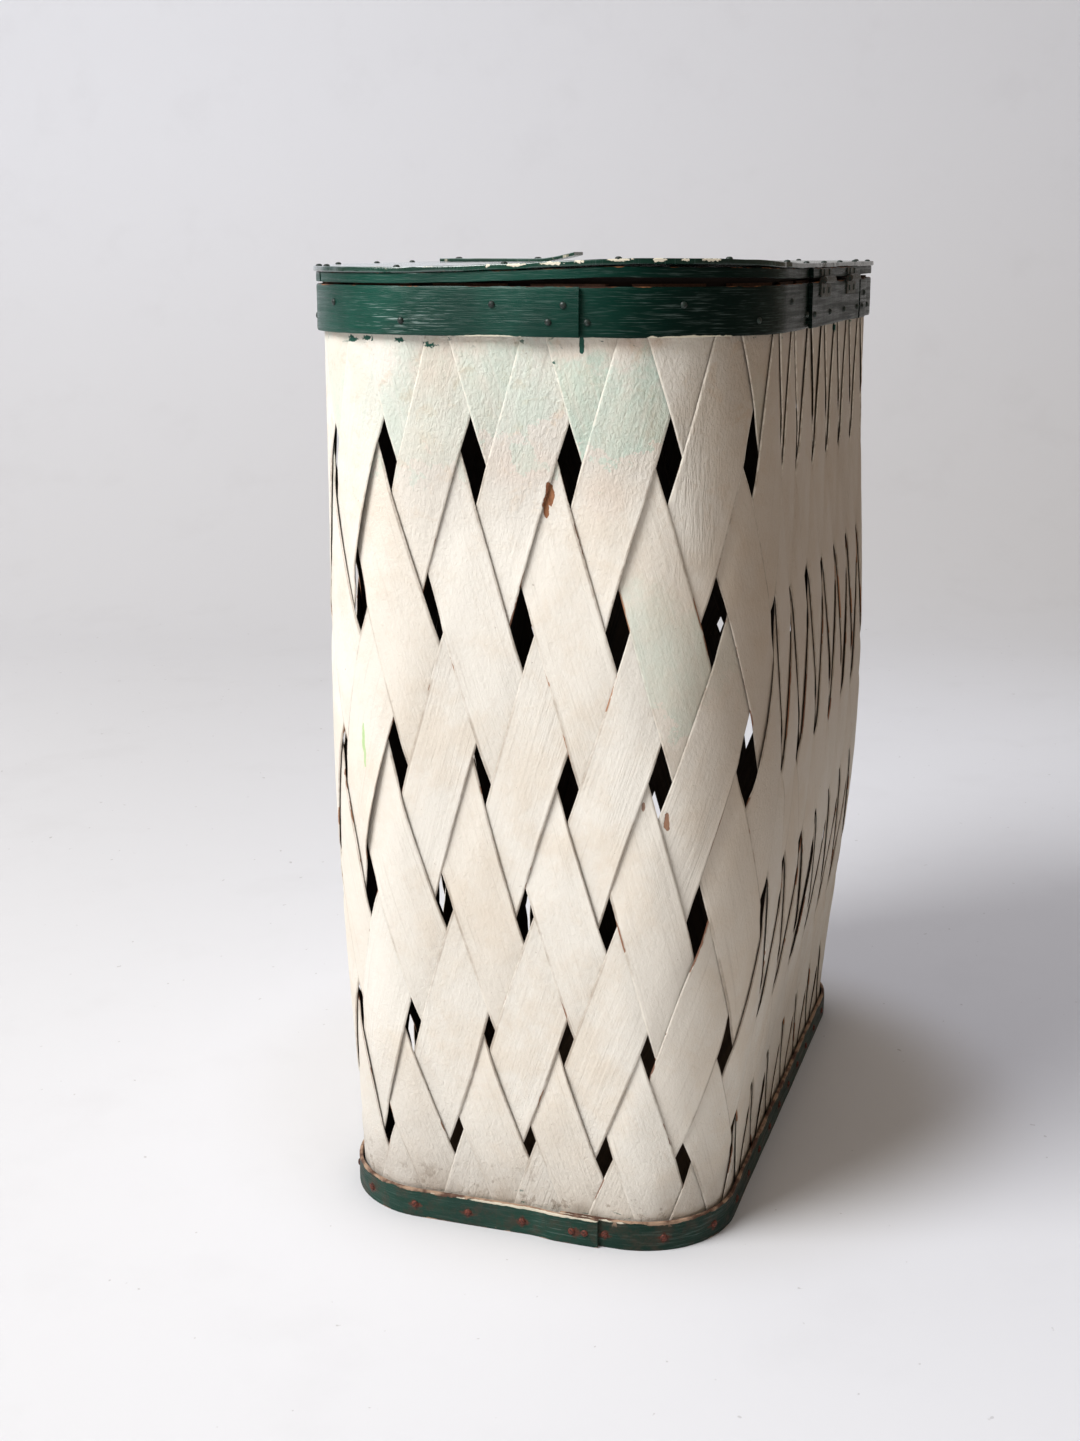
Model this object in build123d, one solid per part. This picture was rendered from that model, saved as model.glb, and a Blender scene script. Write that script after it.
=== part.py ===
from build123d import *
import math
import os

# Tall laundry hamper of woven wood splints, with bent-lath bands and a hinged lid.
# Millimetres. X runs along the long sides, Y across them, Z up from the floor.
# The origin is on the floor under the middle. The hinges are on the +Y side.

# Sizes of the body, measured outside its bands
rim_length = 551.0
rim_width = 302.0
rim_corner = 105.0
foot_length = 495.0
foot_width = 270.5
foot_corner = 66.0
body_height = 620.0

# How far the walls swell out: along X, across Y, more in the middle of the long sides,
# and how far the whole body bows towards the back, all largest at a share of the height
length_swell = 4.0
width_swell = 11.0
side_swell = 4.0
back_bow = 4.0
swell_peak = 0.43

# Bent laths
lath_thickness = 2.6
rim_height = 28.5
foot_height = 20.5
lap_length = 27.0
ramp_length = 22.0
inner_hoop_drop = 3.0

# Where the laths end
rim_lap_from_middle = 50.0
foot_lap_from_middle = 58.0
back_lap_from_middle = 106.0
back_lath_length = 200.0
hoop_butt_gap = 3.0

# Splints; the gaps between them follow from how many lean each way
splints_each_way = 26
splint_width = 45.0
splint_foot_width = 42.5
splint_thickness = 1.2
splint_top_above_rim = 1.5
splint_end_above_floor = 1.0
lowest_row = 67.5
top_row_below_rim = 2.0
rows_above_lowest = 6
row_growth = 0.175
weave_phase = 0.29
foot_crowding = 0.075
rim_crowding = -0.04

# Base board
base_thickness = 9.0
base_above_floor = 5.0

# Lid
lid_gap = 3.0
lid_hoop_height = 6.0
lid_thickness = 3.2
lid_overhang = 1.5
hoop_split_angle = 53.0

# Strap on the lid
strap_width = 22.0
strap_thickness = 2.2
strap_from_edge = 17.5
strap_flat_length = 77.0
strap_rise_length = 25.0
strap_lift = 4.5

# Hinges
hinge_spacing = 110.0
hinge_length = 38.0
leaf_thickness = 1.1
fixed_leaf_height = 11.0
moving_leaf_height = 7.0
pin_radius = 1.1
pin_clearance = 0.05
knuckle_wall = 1.2
knuckle_gap = 0.35
hinge_nail_inset = 9.0
hinge_nail_length = 6.0

# Nails
nail_head_width = 4.2
nail_head_height = 0.8
nail_head_taper = 25.0
nail_shank = 1.4
nail_low_share = 0.3
nail_high_share = 0.64
nail_end_inset = 9.0
nail_spacing_rim = 57.0
nail_spacing_foot = 38.0
nail_spacing_lid = 66.0
nail_bite = 7.0
lid_nail_length = 8.0
strap_nail_length = 5.0

# Clearances: between two splints or two laths, between the lid board and the hoop under it,
# and the room that an outer band leaves for the folds of the splints
seat = 0.25
lid_seat = 0.3
fold_room = 1.3

# The two layers of splints lie either side of one middle surface
layer_offset = (splint_thickness + seat) / 2
weave_half = layer_offset + splint_thickness / 2
band_to_middle = lath_thickness + fold_room + weave_half
lap_lift = lath_thickness + seat

rim_bottom = body_height - rim_height
splint_top = body_height + splint_top_above_rim
lid_bottom = body_height + lid_gap
panel_bottom = lid_bottom + lid_hoop_height
panel_top = panel_bottom + lid_thickness


def wall_share(z):
    # 0 at the top of the foot band and 1 at the top of the rim band; the bands stand upright,
    # so the leaning wall touches each of them at its top edge
    return (z - foot_height) / (body_height - foot_height)


def swell(z):
    # 0 at the two bands and 1 at the fullest height between them
    share = min(1.0, max(0.0, wall_share(z)))
    return math.sin(math.pi * share ** (math.log(0.5) / math.log(swell_peak))) ** 2


def wall_section(z):
    # Half length, half width and corner radius of the middle surface at height z
    share = wall_share(z)
    half_length = (foot_length + (rim_length - foot_length) * share) / 2 - band_to_middle
    half_width = (foot_width + (rim_width - foot_width) * share) / 2 - band_to_middle
    radius = foot_corner + (rim_corner - foot_corner) * share - band_to_middle
    full = swell(z)
    return half_length + length_swell * full, half_width + width_swell * full, radius + length_swell * full


def perimeter(z):
    half_length, half_width, radius = wall_section(z)
    return 4 * (half_length + half_width - 2 * radius) + 2 * math.pi * radius


def wall_point(turn, z, out):
    # turn runs 0 to 1 around the wall, counterclockwise from the middle of the +X end
    half_length, half_width, radius = wall_section(z)
    side = side_swell * swell(z)
    end_run = half_width - radius
    arc_run = math.pi / 2 * radius
    quarter = end_run + arc_run + half_length - radius
    corner, along = divmod((turn % 1.0) * 4, 1.0)
    along = along * quarter if corner % 2 == 0 else (1.0 - along) * quarter
    if along < end_run:
        x, y, angle = half_length, along, 0.0
    elif along < end_run + arc_run:
        angle = (along - end_run) / radius
        x = half_length - radius + radius * math.cos(angle)
        y = half_width - radius + radius * math.sin(angle)
    else:
        x, y, angle = quarter - along, half_width, math.pi / 2
    wave = math.pi / 2 * x / half_length
    slope = -side * math.pi / 2 / half_length * math.sin(2 * wave)
    normal = Vector(math.cos(angle) - slope * math.sin(angle), math.sin(angle), 0).normalized()
    x += normal.X * out
    y += side * math.cos(wave) ** 2 + normal.Y * out
    y = y if corner < 2 else -y
    return Vector(x if corner in (0, 3) else -x, y + back_bow * swell(z), z)


def row_height(row):
    # Height of a row of crossings; the rows stand closer together towards the foot
    share = row / rows_above_lowest
    rise = body_height - top_row_below_rim - lowest_row
    return lowest_row + rise * share * (1 + row_growth * share) / (1 + row_growth)


def weave_point(rising, falling, out):
    # Splints lie on whole numbers of these two slanting coordinates
    z = row_height(falling - rising)
    turn = ((rising + falling) / 2 - weave_phase) / splints_each_way
    crowding = foot_crowding + (rim_crowding - foot_crowding) * z / body_height
    turn -= crowding * math.sin(4 * math.pi * turn) / (4 * math.pi)
    return wall_point(turn, z, out)


def half_share(row):
    # Half a splint's width as a share of the weave's pitch at this row
    z = row_height(row)
    width = splint_foot_width + (splint_width - splint_foot_width) * z / body_height
    return width * splints_each_way / perimeter(min(body_height, max(0.0, z))) / 2


def splint_sections(number, leans_right):
    # Two sections at each crossing, from below the floor to above the rim.
    # A section is its left and right edge, each as an outer and an inner point.
    sections = []
    for row in range(-1, rows_above_lowest + 1):
        half = half_share(row)
        rising, falling = (number, number + row) if leans_right else (number - row, number)
        over = (row % 2 == 1) == leans_right
        middle = layer_offset if over else -layer_offset
        corners = {}
        for name, a, b in (("left", -1, -1), ("bottom", 1, -1), ("top", -1, 1), ("right", 1, 1)):
            corners[name] = [weave_point(rising + a * half, falling + b * half, middle + face)
                             for face in (splint_thickness / 2, -splint_thickness / 2)]
        if leans_right:
            pairs = (("left", "bottom"), ("top", "right"))
        else:
            pairs = (("bottom", "right"), ("left", "top"))
        sections += [(corners[a], corners[b]) for a, b in pairs]
    return sections


def facet(*points):
    return Face(Wire.make_polygon(points, close=True))


def splint(number, leans_right):
    # A flat strip folded over and under its neighbours, cut level at both ends
    sections = splint_sections(number, leans_right)
    faces = []

    def quad(a, b, c, d):
        faces.extend((facet(a, b, c), facet(a, c, d)))

    for (left, right), (left_up, right_up) in zip(sections, sections[1:]):
        for side in (0, 1):
            if leans_right:
                quad(right[side], right_up[side], left_up[side], left[side])
            else:
                quad(left[side], right[side], right_up[side], left_up[side])
        quad(left[0], left_up[0], left_up[1], left[1])
        quad(right[0], right[1], right_up[1], right_up[0])
    for left, right in (sections[0], sections[-1]):
        quad(left[0], right[0], right[1], left[1])
    strip = Solid(Shell(faces))
    height = splint_top - splint_end_above_floor
    slab = Box(2 * rim_length, 2 * rim_width, height, align=(Align.CENTER, Align.CENTER, Align.MIN))
    return strip & Pos(0, 0, splint_end_above_floor) * slab


# Laths

def bend_lengths(section):
    # Distances around a plan outline at which its straight runs and corners begin
    half_length, half_width, radius = section
    end_run = half_width - radius
    side_run = half_length - radius
    arc_run = math.pi / 2 * radius
    marks = [0.0]
    for _ in range(4):
        for run in (end_run, arc_run, 2 * side_run, arc_run, end_run):
            marks.append(marks[-1] + run)
    return marks


def plan_place(section, distance, out):
    # Point and outward direction at a distance around the outline, from the middle of the +X end
    half_length, half_width, radius = section
    end_run = half_width - radius
    arc_run = math.pi / 2 * radius
    quarter = end_run + arc_run + half_length - radius
    corner, along = divmod(distance % (4 * quarter), quarter)
    along = along if corner % 2 == 0 else quarter - along
    turned = min(arc_run, max(0.0, along - end_run)) / radius
    x = half_length - radius + (radius + out) * math.cos(turned)
    y = half_width - radius + (radius + out) * math.sin(turned)
    if along < end_run:
        y = along
    elif along > end_run + arc_run:
        x = quarter - along
    along_x = 1 if corner in (0, 3) else -1
    along_y = 1 if corner < 2 else -1
    return Vector(along_x * x, along_y * y), Vector(along_x * math.cos(turned), along_y * math.sin(turned))


def run_edges(section, start, end, out):
    # Straight lines and arcs along the outline from one distance to another
    marks = [mark for mark in bend_lengths(section) if start + 0.01 < mark < end - 0.01]
    stops = [start] + marks + [end]
    edges = []
    for first, last in zip(stops, stops[1:]):
        a, middle, b = (plan_place(section, d, out)[0] for d in (first, (first + last) / 2, last))
        straight = (middle - (a + b) / 2).length < 1e-6
        if (b - a).length > 1e-6:
            edges.append(Edge.make_line(a, b) if straight else Edge.make_three_point_arc(a, middle, b))
    return edges


def bent_lath(section, stretches, bottom, height):
    # A lath bent along the outline. Each stretch is a start, an end and how far it is lifted off.
    rows = []
    for lift in (0.0, lath_thickness):
        edges = []
        for start, end, out in stretches:
            run = run_edges(section, start, end, out + lift)
            if edges:
                edges.append(Edge.make_line(edges[-1] @ 1, run[0] @ 0))
            edges += run
        rows.append(edges)
    inner, outer = rows
    ends = [Edge.make_line(inner[0] @ 0, outer[0] @ 0), Edge.make_line(inner[-1] @ 1, outer[-1] @ 1)]
    outline = Face(Wire(inner + outer + ends))
    return extrude(Pos(0, 0, bottom) * outline, amount=height, dir=(0, 0, 1))


def shrink(section, amount):
    return tuple(size - amount for size in section)


def board(section, bottom, thickness):
    half_length, half_width, radius = section
    outline = RectangleRounded(2 * half_length, 2 * half_width, radius)
    return extrude(Pos(0, 0, bottom) * outline, amount=thickness)


def facet_sag(radius):
    # Splints lie flat between their folds, so they cut inside a round corner by this much
    return (splint_width / 2) ** 2 / (8 * radius)


def behind_splints(z):
    # The outline that a stiff piece inside the wall may have, if its lowest edge is at height z
    half_length, half_width, radius = wall_section(z)
    return shrink((half_length, half_width, radius), weave_half + seat + facet_sag(radius))


hoop_bottom = rim_bottom + inner_hoop_drop
rim_inside = shrink((rim_length / 2, rim_width / 2, rim_corner), lath_thickness)
foot_inside = shrink((foot_length / 2, foot_width / 2, foot_corner), lath_thickness)
inside_rim = shrink(behind_splints(hoop_bottom), lath_thickness)
inside_foot = behind_splints(base_above_floor)


def full_turn(section):
    return bend_lengths(section)[10]


def back_distance(section, x):
    # Distance around the outline to the place x on the +Y side
    half_length, half_width, radius = section
    return bend_lengths(section)[2] + half_length - radius - x


rim_turn = full_turn(rim_inside)
foot_turn = full_turn(foot_inside)
back_lap = back_distance(rim_inside, -back_lap_from_middle)
back_lath_start = back_distance(rim_inside, back_lath_length / 2)
back_lath_end = back_distance(rim_inside, -back_lath_length / 2)


def lapped_ends(first, last):
    # A lath whose two ends lie over what is beneath, with a ramp down from each
    return [
        (first, first + lap_length, lap_lift),
        (first + lap_length + ramp_length, last - lap_length - ramp_length, 0.0),
        (last - lap_length, last, lap_lift),
    ]


def rim_band_front():
    stretches = lapped_ends(back_lap, rim_turn + rim_lap_from_middle)
    return bent_lath(rim_inside, stretches, rim_bottom, rim_height)


def rim_band_back():
    stretches = [(rim_lap_from_middle - lap_length, back_lap + lap_length, 0.0)]
    return bent_lath(rim_inside, stretches, rim_bottom, rim_height)


def rim_back_lath():
    stretches = [(back_lath_start, back_lath_end, lap_lift)]
    return bent_lath(rim_inside, stretches, rim_bottom, rim_height)


def rim_inner_hoop():
    # Stands above the outer band, and the closed lid rests on it
    stretches = [(hoop_butt_gap / 2, full_turn(inside_rim) - hoop_butt_gap / 2, 0.0)]
    return bent_lath(inside_rim, stretches, hoop_bottom, panel_bottom - lid_seat - hoop_bottom)


def foot_band():
    under = foot_lap_from_middle - lap_length
    over = foot_turn + foot_lap_from_middle
    stretches = [(under, over - lap_length - ramp_length, 0.0), (over - lap_length, over, lap_lift)]
    return bent_lath(foot_inside, stretches, 0.0, foot_height)


def base_board():
    return board(inside_foot, base_above_floor, base_thickness)


# Lid

def hoop_split():
    half_length, half_width, radius = rim_inside
    return rim_turn - (half_width - radius) - math.radians(hoop_split_angle) * radius


def hoop_front_run():
    return rim_turn / 2 + hoop_butt_gap / 2, hoop_split() - hoop_butt_gap / 2


def hoop_back_run():
    return hoop_split() - rim_turn + hoop_butt_gap / 2, rim_turn / 2 - hoop_butt_gap / 2


def lid_hoop(run):
    return bent_lath(rim_inside, [(*run, 0.0)], lid_bottom, lid_hoop_height)


def lid_back_lath():
    stretches = [(back_lath_start, back_lath_end, lap_lift)]
    return bent_lath(rim_inside, stretches, lid_bottom, lid_hoop_height)


def lid_panel():
    return board(shrink(rim_inside, -lath_thickness - lid_overhang), panel_bottom, lid_thickness)


def strap_start():
    return strap_from_edge - rim_inside[1] - lath_thickness - lid_overhang


def lid_pull_strap():
    # A flat strip nailed down, its inner end bent up to take a finger
    start = strap_start()
    bend = start + strap_flat_length
    bottom = [(start, 0), (bend, 0), (bend + strap_rise_length, strap_lift)]
    top = [(y, z + strap_thickness) for y, z in reversed(bottom)]
    profile = Pos(0, 0, panel_top) * (Plane.YZ * make_face(Polyline(*bottom, *top, close=True)))
    return extrude(profile, amount=strap_width / 2, both=True)


# Nails

def nail(length):
    # A hammered square head on a shank that tapers to a point, driven along -Z
    head = extrude(Rectangle(nail_head_width, nail_head_width), amount=nail_head_height, taper=nail_head_taper)
    point = Vertex(0, 0, -length)
    return head + loft([Rectangle(nail_shank, nail_shank), point])


def driven(fastener, places):
    # Copies of one fastener, each at a point with its head facing outward
    return Compound([Plane(origin=point, z_dir=out).location * fastener for point, out in places])


def band_places(section, distances, lift, levels):
    # Places on the outside of a band; the levels above the floor are used in turn
    places = []
    for number, distance in enumerate(distances):
        point, out = plan_place(section, distance, lift + lath_thickness)
        places.append((Vector(point.X, point.Y, levels[number % len(levels)]), out))
    return places


def spread(first, last, spacing):
    # Even steps from first to last, near the wanted spacing
    steps = max(1, round((last - first) / spacing))
    return [first + (last - first) * step / steps for step in range(steps + 1)]


def rim_nails():
    low, high = (rim_bottom + rim_height * share for share in (nail_low_share, nail_high_share))
    lap_edge = nail_end_inset
    clear = lap_length + ramp_length + nail_head_width
    front = spread(back_lap + clear, rim_turn + rim_lap_from_middle - clear, nail_spacing_rim)
    back = spread(rim_lap_from_middle + nail_head_width, back_lath_start - nail_head_width,
                  nail_spacing_rim)
    laps = [back_lap + lap_edge, back_lap + lap_length - lap_edge]
    laps += [distance + rim_turn + rim_lap_from_middle - back_lap - lap_length for distance in laps]
    lath = spread(back_lath_start + lap_edge, back_lath_end - lap_edge, nail_spacing_rim)
    places = band_places(rim_inside, front, 0.0, (low, high))
    places += band_places(rim_inside, back, 0.0, (low, high))
    places += band_places(rim_inside, laps, lap_lift, (low, high))
    places += band_places(rim_inside, lath, lap_lift, (low,))
    return driven(nail(rim_inside[0] + lath_thickness - inside_rim[0]), places)


def foot_nails():
    level = base_above_floor + base_thickness / 2
    clear = lap_length + ramp_length + nail_head_width
    around = spread(foot_lap_from_middle + nail_head_width,
                    foot_turn + foot_lap_from_middle - clear, nail_spacing_foot)
    over = foot_turn + foot_lap_from_middle
    laps = [over - nail_end_inset, over - lap_length + nail_end_inset]
    places = band_places(foot_inside, around, 0.0, (level,))
    places += band_places(foot_inside, laps, lap_lift, (level,))
    return driven(nail(foot_inside[0] + lath_thickness - inside_foot[0] + nail_bite), places)


def lid_nails():
    # Each hoop has a row of its own, so that no nail falls in the gap between two ends
    places = []
    for start, end in (hoop_front_run(), hoop_back_run()):
        for distance in spread(start + nail_end_inset, end - nail_end_inset, nail_spacing_lid):
            point, _ = plan_place(rim_inside, distance, lath_thickness / 2)
            places.append((Vector(point.X, point.Y, panel_top), Vector(0, 0, 1)))
    return driven(nail(lid_nail_length), places)


def strap_nails():
    top = panel_top + strap_thickness
    inset = strap_width / 2
    start = strap_start()
    rows = (start + inset, start + strap_flat_length - inset / 2)
    return driven(nail(strap_nail_length), [(Vector(0, y, top), Vector(0, 0, 1)) for y in rows])


# Hinges: the leaves lie flat on the outside of the two back laths

hinge_face = rim_inside[1] + lap_lift + lath_thickness
knuckle_radius = pin_radius + pin_clearance + knuckle_wall
hinge_y = hinge_face + knuckle_radius
hinge_z = body_height + lid_gap / 2
knuckle_length = (hinge_length - 2 * knuckle_gap) / 3
hinge_centres = (hinge_spacing / 2, -hinge_spacing / 2)


def along_x(radius, x, length):
    # A round bar along X, centred on x on the hinge line
    bar = Rot(0, 90, 0) * Cylinder(radius, length)
    return Pos(x, hinge_y, hinge_z) * bar


def hinge_leaf(x, height, knuckles):
    # A flat leaf with its knuckles; a negative height hangs down from the hinge line
    up = 1 if height > 0 else -1
    bore = pin_radius + pin_clearance
    start = knuckle_radius + knuckle_gap
    tall = abs(height) - start
    middle = hinge_z + up * (start + tall / 2)
    leaf = Pos(x, hinge_face + leaf_thickness / 2, middle) * Box(hinge_length, leaf_thickness, tall)
    for place in knuckles:
        centre = x + place * (knuckle_length + knuckle_gap)
        web = Box(knuckle_length, leaf_thickness, start)
        leaf += Pos(centre, hinge_face + leaf_thickness / 2, hinge_z + up * start / 2) * web
        leaf += along_x(knuckle_radius, centre, knuckle_length)
    leaf -= along_x(bore, x, 2 * hinge_length)
    return leaf


def hinge_nails(height):
    # Two nails through each leaf, into the laths behind it
    up = 1 if height > 0 else -1
    level = hinge_z + up * (knuckle_radius + knuckle_gap + abs(height)) / 2
    reach = hinge_length / 2 - hinge_nail_inset
    places = [(Vector(x + side * reach, hinge_face + leaf_thickness, level), Vector(0, 1, 0))
              for x in hinge_centres for side in (-1, 1)]
    return driven(nail(hinge_nail_length), places)


def hinge_pin(x):
    # A plain pin, flush with the ends of the knuckles
    return along_x(pin_radius, x, hinge_length)


def build_parts():
    parts = {
        "base_board": base_board(),
        "foot_band": foot_band(),
        "foot_nails": foot_nails(),
        "rim_band_front": rim_band_front(),
        "rim_band_back": rim_band_back(),
        "rim_back_lath": rim_back_lath(),
        "rim_inner_hoop": rim_inner_hoop(),
        "rim_nails": rim_nails(),
        "lid_panel": lid_panel(),
        "lid_hoop_front": lid_hoop(hoop_front_run()),
        "lid_hoop_back": lid_hoop(hoop_back_run()),
        "lid_back_lath": lid_back_lath(),
        "lid_nails": lid_nails(),
        "lid_pull_strap": lid_pull_strap(),
        "strap_nails": strap_nails(),
        "hinge_nails_rim": hinge_nails(-fixed_leaf_height),
        "hinge_nails_lid": hinge_nails(moving_leaf_height),
    }
    for name, x in zip(("near", "far"), hinge_centres):
        parts[f"hinge_leaf_rim_{name}"] = hinge_leaf(x, -fixed_leaf_height, (-1, 1))
        parts[f"hinge_leaf_lid_{name}"] = hinge_leaf(x, moving_leaf_height, (0,))
        parts[f"hinge_pin_{name}"] = hinge_pin(x)
    for lean, leans_right in (("right", True), ("left", False)):
        for first in range(0, splints_each_way, 2):
            pair = [splint(number, leans_right) for number in range(first, min(first + 2, splints_each_way))]
            parts[f"splints_leaning_{lean}_{first // 2 + 1:02d}"] = Compound(pair)
    return parts


if __name__ == "__main__":
    os.makedirs("parts", exist_ok=True)
    for node, shape in build_parts().items():
        export_step(shape, f"parts/{node}.step")
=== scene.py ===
import math
import bpy
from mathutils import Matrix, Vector, noise


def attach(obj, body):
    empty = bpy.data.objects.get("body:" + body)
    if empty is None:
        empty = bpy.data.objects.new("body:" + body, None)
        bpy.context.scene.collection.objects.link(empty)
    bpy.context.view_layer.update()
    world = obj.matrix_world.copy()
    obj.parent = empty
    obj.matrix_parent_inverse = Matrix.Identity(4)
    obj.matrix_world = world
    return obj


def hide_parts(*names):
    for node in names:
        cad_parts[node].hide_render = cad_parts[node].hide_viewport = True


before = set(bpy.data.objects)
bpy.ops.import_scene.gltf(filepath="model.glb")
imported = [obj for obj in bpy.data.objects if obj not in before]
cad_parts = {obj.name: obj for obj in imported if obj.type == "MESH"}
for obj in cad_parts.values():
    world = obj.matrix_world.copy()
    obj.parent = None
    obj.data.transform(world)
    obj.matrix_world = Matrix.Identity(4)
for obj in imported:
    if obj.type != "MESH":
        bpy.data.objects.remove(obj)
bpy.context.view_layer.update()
mm = 0.001   # sizes below are in millimetres, meshes are in metres
print("frame loaded")

# The wall, as the construction has it. An outline is (half length, half width, corner radius).
wall = {
    "rimLength": 551.0, "rimWidth": 302.0, "rimCorner": 105.0,
    "footLength": 495.0, "footWidth": 270.5, "footCorner": 66.0,
    "height": 620.0, "footBandHeight": 20.5, "rimBandHeight": 28.5,
    "lengthSwell": 4.0, "widthSwell": 11.0, "sideSwell": 4.0, "backBow": 4.0, "swellPeak": 0.43,
    "bandToMiddle": 5.225,   # from the outside of the bands to the middle of the weave
}


def wallShare(z):
    return (z - wall["footBandHeight"]) / (wall["height"] - wall["footBandHeight"])


def swell(z):
    share = min(1.0, max(0.0, wallShare(z)))
    return math.sin(math.pi * share ** (math.log(0.5) / math.log(wall["swellPeak"]))) ** 2


def wallSection(z):
    share, full, inset = wallShare(z), swell(z), wall["bandToMiddle"]
    halfLength = (wall["footLength"] + (wall["rimLength"] - wall["footLength"]) * share) / 2 - inset
    halfWidth = (wall["footWidth"] + (wall["rimWidth"] - wall["footWidth"]) * share) / 2 - inset
    radius = wall["footCorner"] + (wall["rimCorner"] - wall["footCorner"]) * share - inset
    growth = wall["lengthSwell"] * full
    return halfLength + growth, halfWidth + wall["widthSwell"] * full, radius + growth


def turnLength(section):
    halfLength, halfWidth, radius = section
    return 4 * (halfLength + halfWidth - 2 * radius) + 2 * math.pi * radius


def quarterLength(section):
    halfLength, halfWidth, radius = section
    return halfWidth - radius + math.pi / 2 * radius + halfLength - radius


def quarterPlace(section, along, out=0.0):
    # Point of one quarter of an outline, counted from the middle of its end, and the angle there
    halfLength, halfWidth, radius = section
    endRun, arcRun = halfWidth - radius, math.pi / 2 * radius
    angle = min(arcRun, max(0.0, along - endRun)) / radius
    x = halfLength - radius + (radius + out) * math.cos(angle)
    y = halfWidth - radius + (radius + out) * math.sin(angle)
    if along < endRun:
        y = along
    elif along > endRun + arcRun:
        x = quarterLength(section) - along
    return x, y, angle


def wallPoint(turn, z, out):
    # turn is 0 to 1 around the wall, from the middle of the near end
    section = wallSection(z)
    quarter = quarterLength(section)
    side = wall["sideSwell"] * swell(z)
    corner, along = divmod((turn % 1.0) * 4, 1.0)
    along = along * quarter if corner % 2 == 0 else (1.0 - along) * quarter
    x, y, angle = quarterPlace(section, along)
    wave = math.pi / 2 * x / section[0]
    slope = -side * math.pi / 2 / section[0] * math.sin(2 * wave)
    nx, ny = math.cos(angle) - slope * math.sin(angle), math.sin(angle)
    reach = out / math.hypot(nx, ny)
    x += nx * reach
    y += side * math.cos(wave) ** 2 + ny * reach
    y = y if corner < 2 else -y
    return x if corner in (0, 3) else -x, y + wall["backBow"] * swell(z), z


# Small tools for meshes
def smoothStep(low, high, value):
    t = min(1.0, max(0.0, (value - low) / (high - low)))
    return t * t * (3 - 2 * t)


def wander(*spot):
    # Even, repeatable unevenness between -1 and 1
    return noise.noise(Vector((spot + (0.0, 0.0, 0.0))[:3]))


def addToScene(name, data):
    thing = bpy.data.objects.new(name, data)
    bpy.context.scene.collection.objects.link(thing)
    return thing


sharpAngle = 38.0   # faces that meet more steeply, in degrees, keep a crisp edge


def makePiece(name, body, points, faces, grain, edge, kinds=None):
    # grain and edge are stored on the points, for the materials
    mesh = bpy.data.meshes.new(name)
    mesh.from_pydata([(x * mm, y * mm, z * mm) for x, y, z in points], [], faces)
    for label, values in (("grain", grain), ("edge", edge)):
        store = mesh.attributes.new(label, "FLOAT_VECTOR", "POINT")
        store.data.foreach_set("vector", [part for value in values for part in value])
    if kinds:
        mesh.polygons.foreach_set("material_index", kinds)
    mesh.polygons.foreach_set("use_smooth", [True] * len(faces))
    mesh.set_sharp_from_angle(angle=math.radians(sharpAngle))
    mesh.update()
    piece = addToScene(name, mesh)
    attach(piece, body)
    return piece


def ringFaces(count, rings, start=0):
    # Quads between rings of points that follow each other, with the two ends closed
    faces = []
    for ring in range(rings - 1):
        base = start + ring * count
        for i in range(count):
            j = (i + 1) % count
            faces.append((base + i, base + j, base + count + j, base + count + i))
    faces.append(tuple(start + i for i in reversed(range(count))))
    faces.append(tuple(start + (rings - 1) * count + i for i in range(count)))
    return faces


# Small tools for materials. They add nodes to the material that was started last.
making = {}


def newMaterial(name):
    material = bpy.data.materials.new(name)
    material.use_nodes = True
    making["tree"] = material.node_tree
    return material, material.node_tree.nodes["Principled BSDF"].inputs


def give(socket, value):
    if isinstance(value, bpy.types.NodeSocket):
        making["tree"].links.new(value, socket)
    else:
        socket.default_value = value


def addNode(kind, inputs=None, **settings):
    node = making["tree"].nodes.new("ShaderNode" + kind)
    for key, value in settings.items():
        setattr(node, key, value)
    for key, value in (inputs or {}).items():
        give(node.inputs[key], value)
    return node


def calc(operation, *values):
    # More than two values are taken from left to right
    result = values[0]
    for value in values[1:] or (0.0,):
        result = addNode("Math", {0: result, 1: value}, operation=operation).outputs[0]
    return result


def times(*values):
    return calc("MULTIPLY", *values)


def plus(*values):
    return calc("ADD", *values)


def minus(first, second):
    return calc("SUBTRACT", first, second)


def largest(*values):
    return calc("MAXIMUM", *values)


def vectorMath(operation, inputs, output="Vector"):
    return addNode("VectorMath", inputs, operation=operation).outputs[output]


def stretched(where, scale):
    return vectorMath("MULTIPLY", {0: where, 1: scale})


def fade(value, low, high, bottom=0.0, top=1.0):
    inputs = {"Value": value, "From Min": low, "From Max": high, "To Min": bottom, "To Max": top}
    return addNode("MapRange", inputs, interpolation_type="SMOOTHSTEP").outputs[0]


def mixColour(share, first, second):
    return addNode("Mix", {0: share, 6: first, 7: second}, data_type="RGBA").outputs[2]


def layered(colour, tones, layers):
    # Each layer has a share, 0 to 1, and the name of its tone
    for share, tone in layers:
        colour = mixColour(share, colour, tones[tone])
    return colour


def cloud(where, scale, detail=4.0, rough=0.55, twist=0.0):
    inputs = {"Vector": where, "Scale": scale, "Detail": detail, "Roughness": rough,
              "Distortion": twist}
    return addNode("TexNoise", inputs).outputs["Fac"]


def streaky(where, scale, detail=4.0, rough=0.6, twist=0.0):
    # Noise drawn out along one direction; scale has three values
    return cloud(stretched(where, scale), 1.0, detail, rough, twist)


def stored(label):
    return addNode("Attribute", attribute_name=label).outputs["Vector"]


def axes(vector):
    return addNode("SeparateXYZ", {0: vector}).outputs


def place(kind="Object"):
    return addNode("TexCoord").outputs[kind]


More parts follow.
